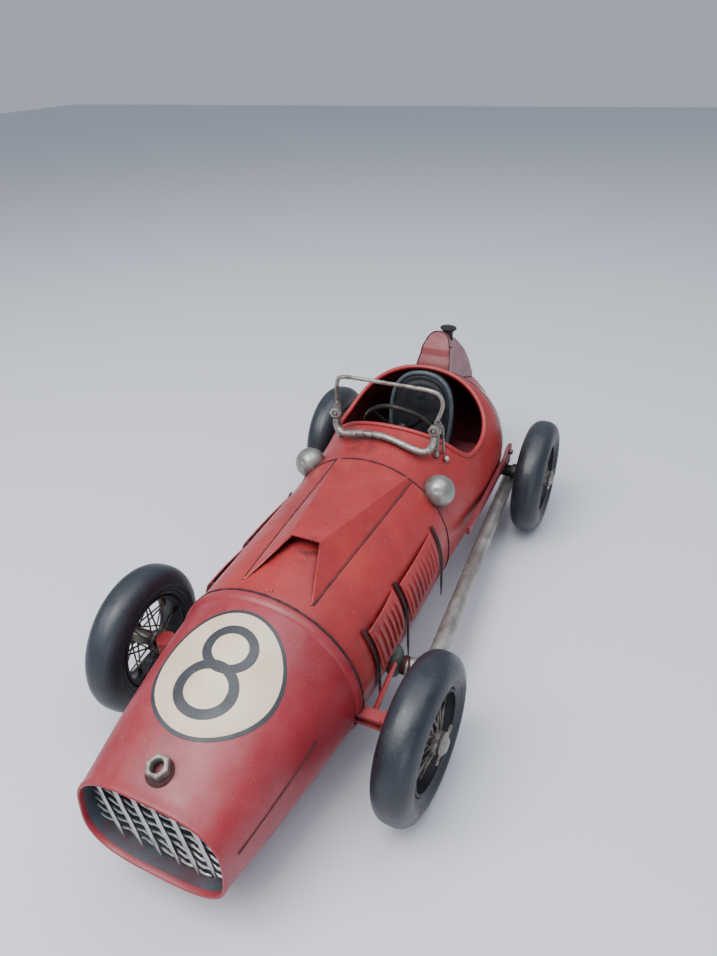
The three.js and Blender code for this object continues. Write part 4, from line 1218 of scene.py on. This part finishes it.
def filler_cap():
    centre = (3, 217, 108.6)
    shape = Shape(facing(centre, (0.06, 0.05, 1)))
    shape.spun([(-0.6, 0.01), (-0.6, 3.5), (0.2, 3.4), (0.8, 3.1), (5.2, 3.1), (5.4, 0.01)], 40)
    rows = []
    for x, out in ((5.1, 3.4), (5.3, 4.5), (6.1, 4.95), (6.7, 4.9), (7.0, 4.4), (7.1, 0.02)):
        row = []
        for k in range(120):
            tooth = 0.28 * (1 if k % 6 < 3 else -1) if out > 4.5 else 0
            r = max(0.01, out - 0.25 + tooth * 0.8)
            row.append((x, r * math.cos(2 * math.pi * k / 120), r * math.sin(2 * math.pi * k / 120)))
        rows.append(row)
    rows.append([(5.1, 0.01 * math.cos(2 * math.pi * k / 120), 0.01 * math.sin(2 * math.pi * k / 120))
                 for k in range(120)])
    shape.grid(rows, wrap_rows=True, wrap_columns=True)
    piece("filler_cap_serrated", shape, BLACKED.material, "dark_steel", stands_for=["filler_cap"], sharp=40)


filler_cap()


# ---- Exhaust ----
def exhaust():
    front, rear = Vector((57.4, 50, 27)), Vector((50, 217, 24.2))
    elbow = [Vector(p) for p in ((46.3, 35, 29), (49, 35.3, 28.8), (53.2, 37.6, 28.2), (56.6, 42.5, 27.4))]
    line = smooth_line(elbow + [front] + [front.lerp(rear, k / 10) for k in range(1, 11)], 8)
    shape = Shape()
    mouth = line[-1]
    inward = (line[-2] - line[-1]).normalized()
    line += [mouth + inward * 0.2, mouth + inward * 6, mouth + inward * 11]
    radii = [4 * (1 + 0.018 * noise.noise(p * 0.12)) for p in line[:-3]] + [3.5, 3.4, 3.4]
    outer = line[:-3]
    rows = []
    for path, sizes in ((outer, radii[:-3]), (line[-3:], radii[-3:])):
        for k, p in enumerate(path):
            ahead = path[min(k + 1, len(path) - 1)]
            behind = path[max(k - 1, 0)]
            tangent = (ahead - behind).normalized()
            if path is not outer:
                tangent = -tangent
            side = tangent.cross(Vector((0, 0, 1))).normalized()
            up = side.cross(tangent)
            rows.append([p + side * sizes[k] * math.cos(a) + up * sizes[k] * math.sin(a)
                         for a in [2 * math.pi * n / 28 for n in range(28)]])
    shape.grid(rows, wrap_columns=True)
    count = len(shape.points)
    shape.faces.append(tuple(range(28)))
    shape.faces.append(tuple(range(count - 1, count - 29, -1)))
    shape.numbers += [0, 0]
    piece("exhaust_pipe_tube", shape, PIPE.material, "aged_steel", stands_for=["exhaust_pipe"])
    for number, at in enumerate((1, 4, 7)):
        shape = Shape(facing(line[at], line[at + 1] - line[at]))
        shape.spun([(-0.5, 3.9), (-0.5, 4.2), (-0.2, 4.4), (0.2, 4.4), (0.5, 4.2), (0.5, 3.9)], 36)
        piece(f"exhaust_band_{number}", shape, DARK_LINE.material, "dark_steel")
    rows = []
    for k in range(25):
        a = math.pi * k / 24
        lump = 1 + 0.05 * noise.noise(Vector((0, k * 0.4, 0)))
        radius = max(0.01, math.sin(a)) * lump
        z = 31 + 8.5 * math.cos(a)
        turns = [2 * math.pi * n / 48 for n in range(48)]
        rows.append([(42.6 + 4.0 * radius * math.cos(b), 34 + 6.3 * radius * math.sin(b), z) for b in turns])
    shape = Shape()
    shape.grid(rows, wrap_columns=True)
    piece("exhaust_manifold_cast", shape, CAST.material, "dark_steel", stands_for=["exhaust_manifold"])


exhaust()


# ---- Wheels ----
def tyre_profile():
    half = [(0, 34.0), (1.6, 33.96), (3.4, 33.6), (5.2, 32.7), (6.8, 31.1), (7.9, 29.0), (8.45, 27.0),
            (8.35, 26.2), (7.9, 25.4), (8.15, 24.9), (7.6, 24.2), (7.2, 23.7), (7.45, 23.1), (6.9, 22.4),
            (6.5, 21.7), (6.0, 21.3)]
    ring = [(p.x, p.y) for p in smooth_line([(x, r, 0) for x, r in half], 4)]
    return [(-x, r) for x, r in ring[::-1]] + ring[1:]


TYRE_PROFILE = tyre_profile()
SPOKES = 36


def wheel(name, joint, side, body):
    centre = from_row(joints[joint]["pos_m"])
    if joint == "rear_axle_spin":
        centre.x = side * 67.5
    outward = Vector(joints[joint]["axis"]) * side
    local = facing(centre, outward)
    shape = Shape(local)
    shape.spun(TYRE_PROFILE, 144)
    piece(f"tyre_round_{name}", shape, RUBBER.material, "tyre", body, [f"tyre_{name}"], sharp=60)
    shape = Shape(local)
    rim = [(-6.5, 19.8), (-6.9, 20.6), (-6.4, 21.1), (-5.8, 20.9), (-4.6, 20.6), (4.6, 20.6), (5.8, 20.9)]
    rim += [(6.4, 21.1)]
    rim += [(6.9, 20.6), (6.5, 19.8), (5.2, 20.0), (3, 19.2), (-3, 19.2), (-5.2, 20.0)]
    shape.spun(rim, 96)
    piece(f"wheel_rim_{name}", shape, SHADED_RIM.material, "aged_steel", body)
    shape = Shape(local)
    hub = [(-7.5, 2.3), (-7.5, 4.2), (-6.6, 4.9), (-5.2, 4.9), (-4.6, 3.4), (4.8, 3.4), (5.4, 4.9)]
    hub += [(6.9, 4.9)]
    hub += [(8, 4.2), (8, 2.3)]
    shape.spun(hub, 40)
    for k in range(SPOKES):
        outer = k % 2 == 0
        a = k * 2 * math.pi / SPOKES
        b = a + (0.5 if (k // 2) % 2 else -0.5)
        start = Vector((6.1 if outer else -5.7, 4.3 * math.cos(a), 4.3 * math.sin(a)))
        end = Vector((2.2 if outer else -2.2, 19.6 * math.cos(b), 19.6 * math.sin(b)))
        path = [start.lerp(end, t / 6) for t in range(7)]
        shape.tube(path, 0.42, 8)
        shape.tube([start.lerp(end, 0.84), start.lerp(end, 0.99)], 0.62, 8)
    piece(f"wire_wheel_spoked_{name}", shape, SPOKE.material, "aged_steel", body, [f"wire_wheel_{name}"])
    shape = Shape(local)
    boss = [(8.3, 0.01), (8.3, 4.9), (9.0, 5.0), (9.6, 4.5), (10.0, 3.5), (10.8, 2.7), (11, 1.6), (11, 0.01)]
    shape.spun(boss, 40)
    for turn in (0.35, 0.35 + math.pi):
        ear = []
        for t in range(9):
            r = 2.5 + 5.7 * t / 8
            ear.append((9.2, r * math.cos(turn), r * math.sin(turn)))
        shape.tube(ear, [1.5, 1.3, 1.2, 1.1, 1.1, 1.2, 1.3, 1.25, 0.8], 10, flat=0.6, up=(1, 0, 0))
    piece(f"hub_nut_eared_{name}", shape, AGED.material, "aged_steel", body, [f"hub_nut_{name}"])


for side, name in SIDES:
    wheel(f"front_{name}", f"front_{name}_spin", side, f"front_wheel_{name}")
    wheel(f"rear_{name}", "rear_axle_spin", side, "rear_axle_set")


# ---- CAD nodes that keep their own shape ----
KEPT = (
    (FRAME_RED, 0.25, ("front_axle_beam", "front_radius_rod_left", "front_radius_rod_right")),
    (DEEP_RED, 0.3, ("rear_arm_left", "rear_arm_right")),
    (DEEP_RED, 0.0, ("floor_pan",)),
    (SHADED_INSIDE.material, 0.0, ("seat_deck",)),
    (BLACKED.material, 0.25, ("rear_bearing_left", "rear_bearing_right", "steering_column", "flywheel")),
    (AGED.material, 0.15, ("rear_axle", "idler_shaft", "flywheel_shaft",
                           "motor_plate_left", "motor_plate_right")),
    (BRASS.material, 0.06, ("axle_gear", "idler_gear", "flywheel_pinion")),
)
for material, width, names in KEPT:
    for name in names:
        node = frame["nodes"][name]
        for slot in node.material_slots:
            slot.link = "OBJECT"
            slot.material = material
        if width:
            add_bevel(node, width)


# ---- Floor, light and camera ----
FLOOR = Finish("pale_floor", "#ced1d8", 0.6)


def sheet_of(name, corners, material):
    mesh = bpy.data.meshes.new(name)
    mesh.from_pydata([place(p) for p in corners], [], [(0, 1, 2, 3)])
    mesh.materials.append(material)
    obj = bpy.data.objects.new(name, mesh)
    bpy.context.scene.collection.objects.link(obj)


sheet_of("floor", [(-3000, -3000, 0), (3000, -3000, 0), (3000, 3000, 0), (-3000, 3000, 0)], FLOOR.material)
world = bpy.data.worlds.new("studio")
world.use_nodes = True
world.node_tree.nodes["Background"].inputs["Color"].default_value = linear("#d3dbea")
world.node_tree.nodes["Background"].inputs["Strength"].default_value = 0.62
bpy.context.scene.world = world


def area_light(name, centre, target, size, power, color):
    data = bpy.data.lights.new(name, "AREA")
    data.shape = "RECTANGLE"
    data.size, data.size_y = size
    data.energy = power
    data.color = linear(color)[:3]
    lamp = bpy.data.objects.new(name, data)
    bpy.context.scene.collection.objects.link(lamp)
    lamp.location = place(centre)
    aim = place(target) - place(centre)
    lamp.rotation_euler = aim.to_track_quat("-Z", "Y").to_euler()


area_light("key", (-250, -420, 900), (0, 90, 40), (0.7, 0.7), 12, "#fffdfb")
area_light("top", (150, 80, 1100), (0, 90, 0), (1.1, 1.1), 11, "#f8f8ff")
area_light("low_fill", (500, -700, 260), (30, 0, 40), (0.5, 0.3), 1.6, "#eef4ff")

YAW, PITCH, ROLL = -0.448, 0.573, -0.036
CAMERA_LENS = 25.81
CAMERA_PLACE = Vector((0.122077, -0.266162, 0.263693))
forward = Vector((math.sin(YAW) * math.cos(PITCH), math.cos(YAW) * math.cos(PITCH), -math.sin(PITCH)))
level = Vector((math.cos(YAW), -math.sin(YAW), 0))
above = level.cross(forward)
right = level * math.cos(ROLL) + above * math.sin(ROLL)
upward = above * math.cos(ROLL) - level * math.sin(ROLL)
camera_data = bpy.data.cameras.new("camera")
camera_data.sensor_width = 36
camera_data.lens = CAMERA_LENS
camera_data.clip_start = 0.01
camera = bpy.data.objects.new("camera", camera_data)
bpy.context.scene.collection.objects.link(camera)
turn = Matrix((right, upward, -forward)).transposed().to_4x4()
camera.matrix_world = Matrix.Translation(CAMERA_PLACE) @ turn
bpy.context.scene.camera = camera
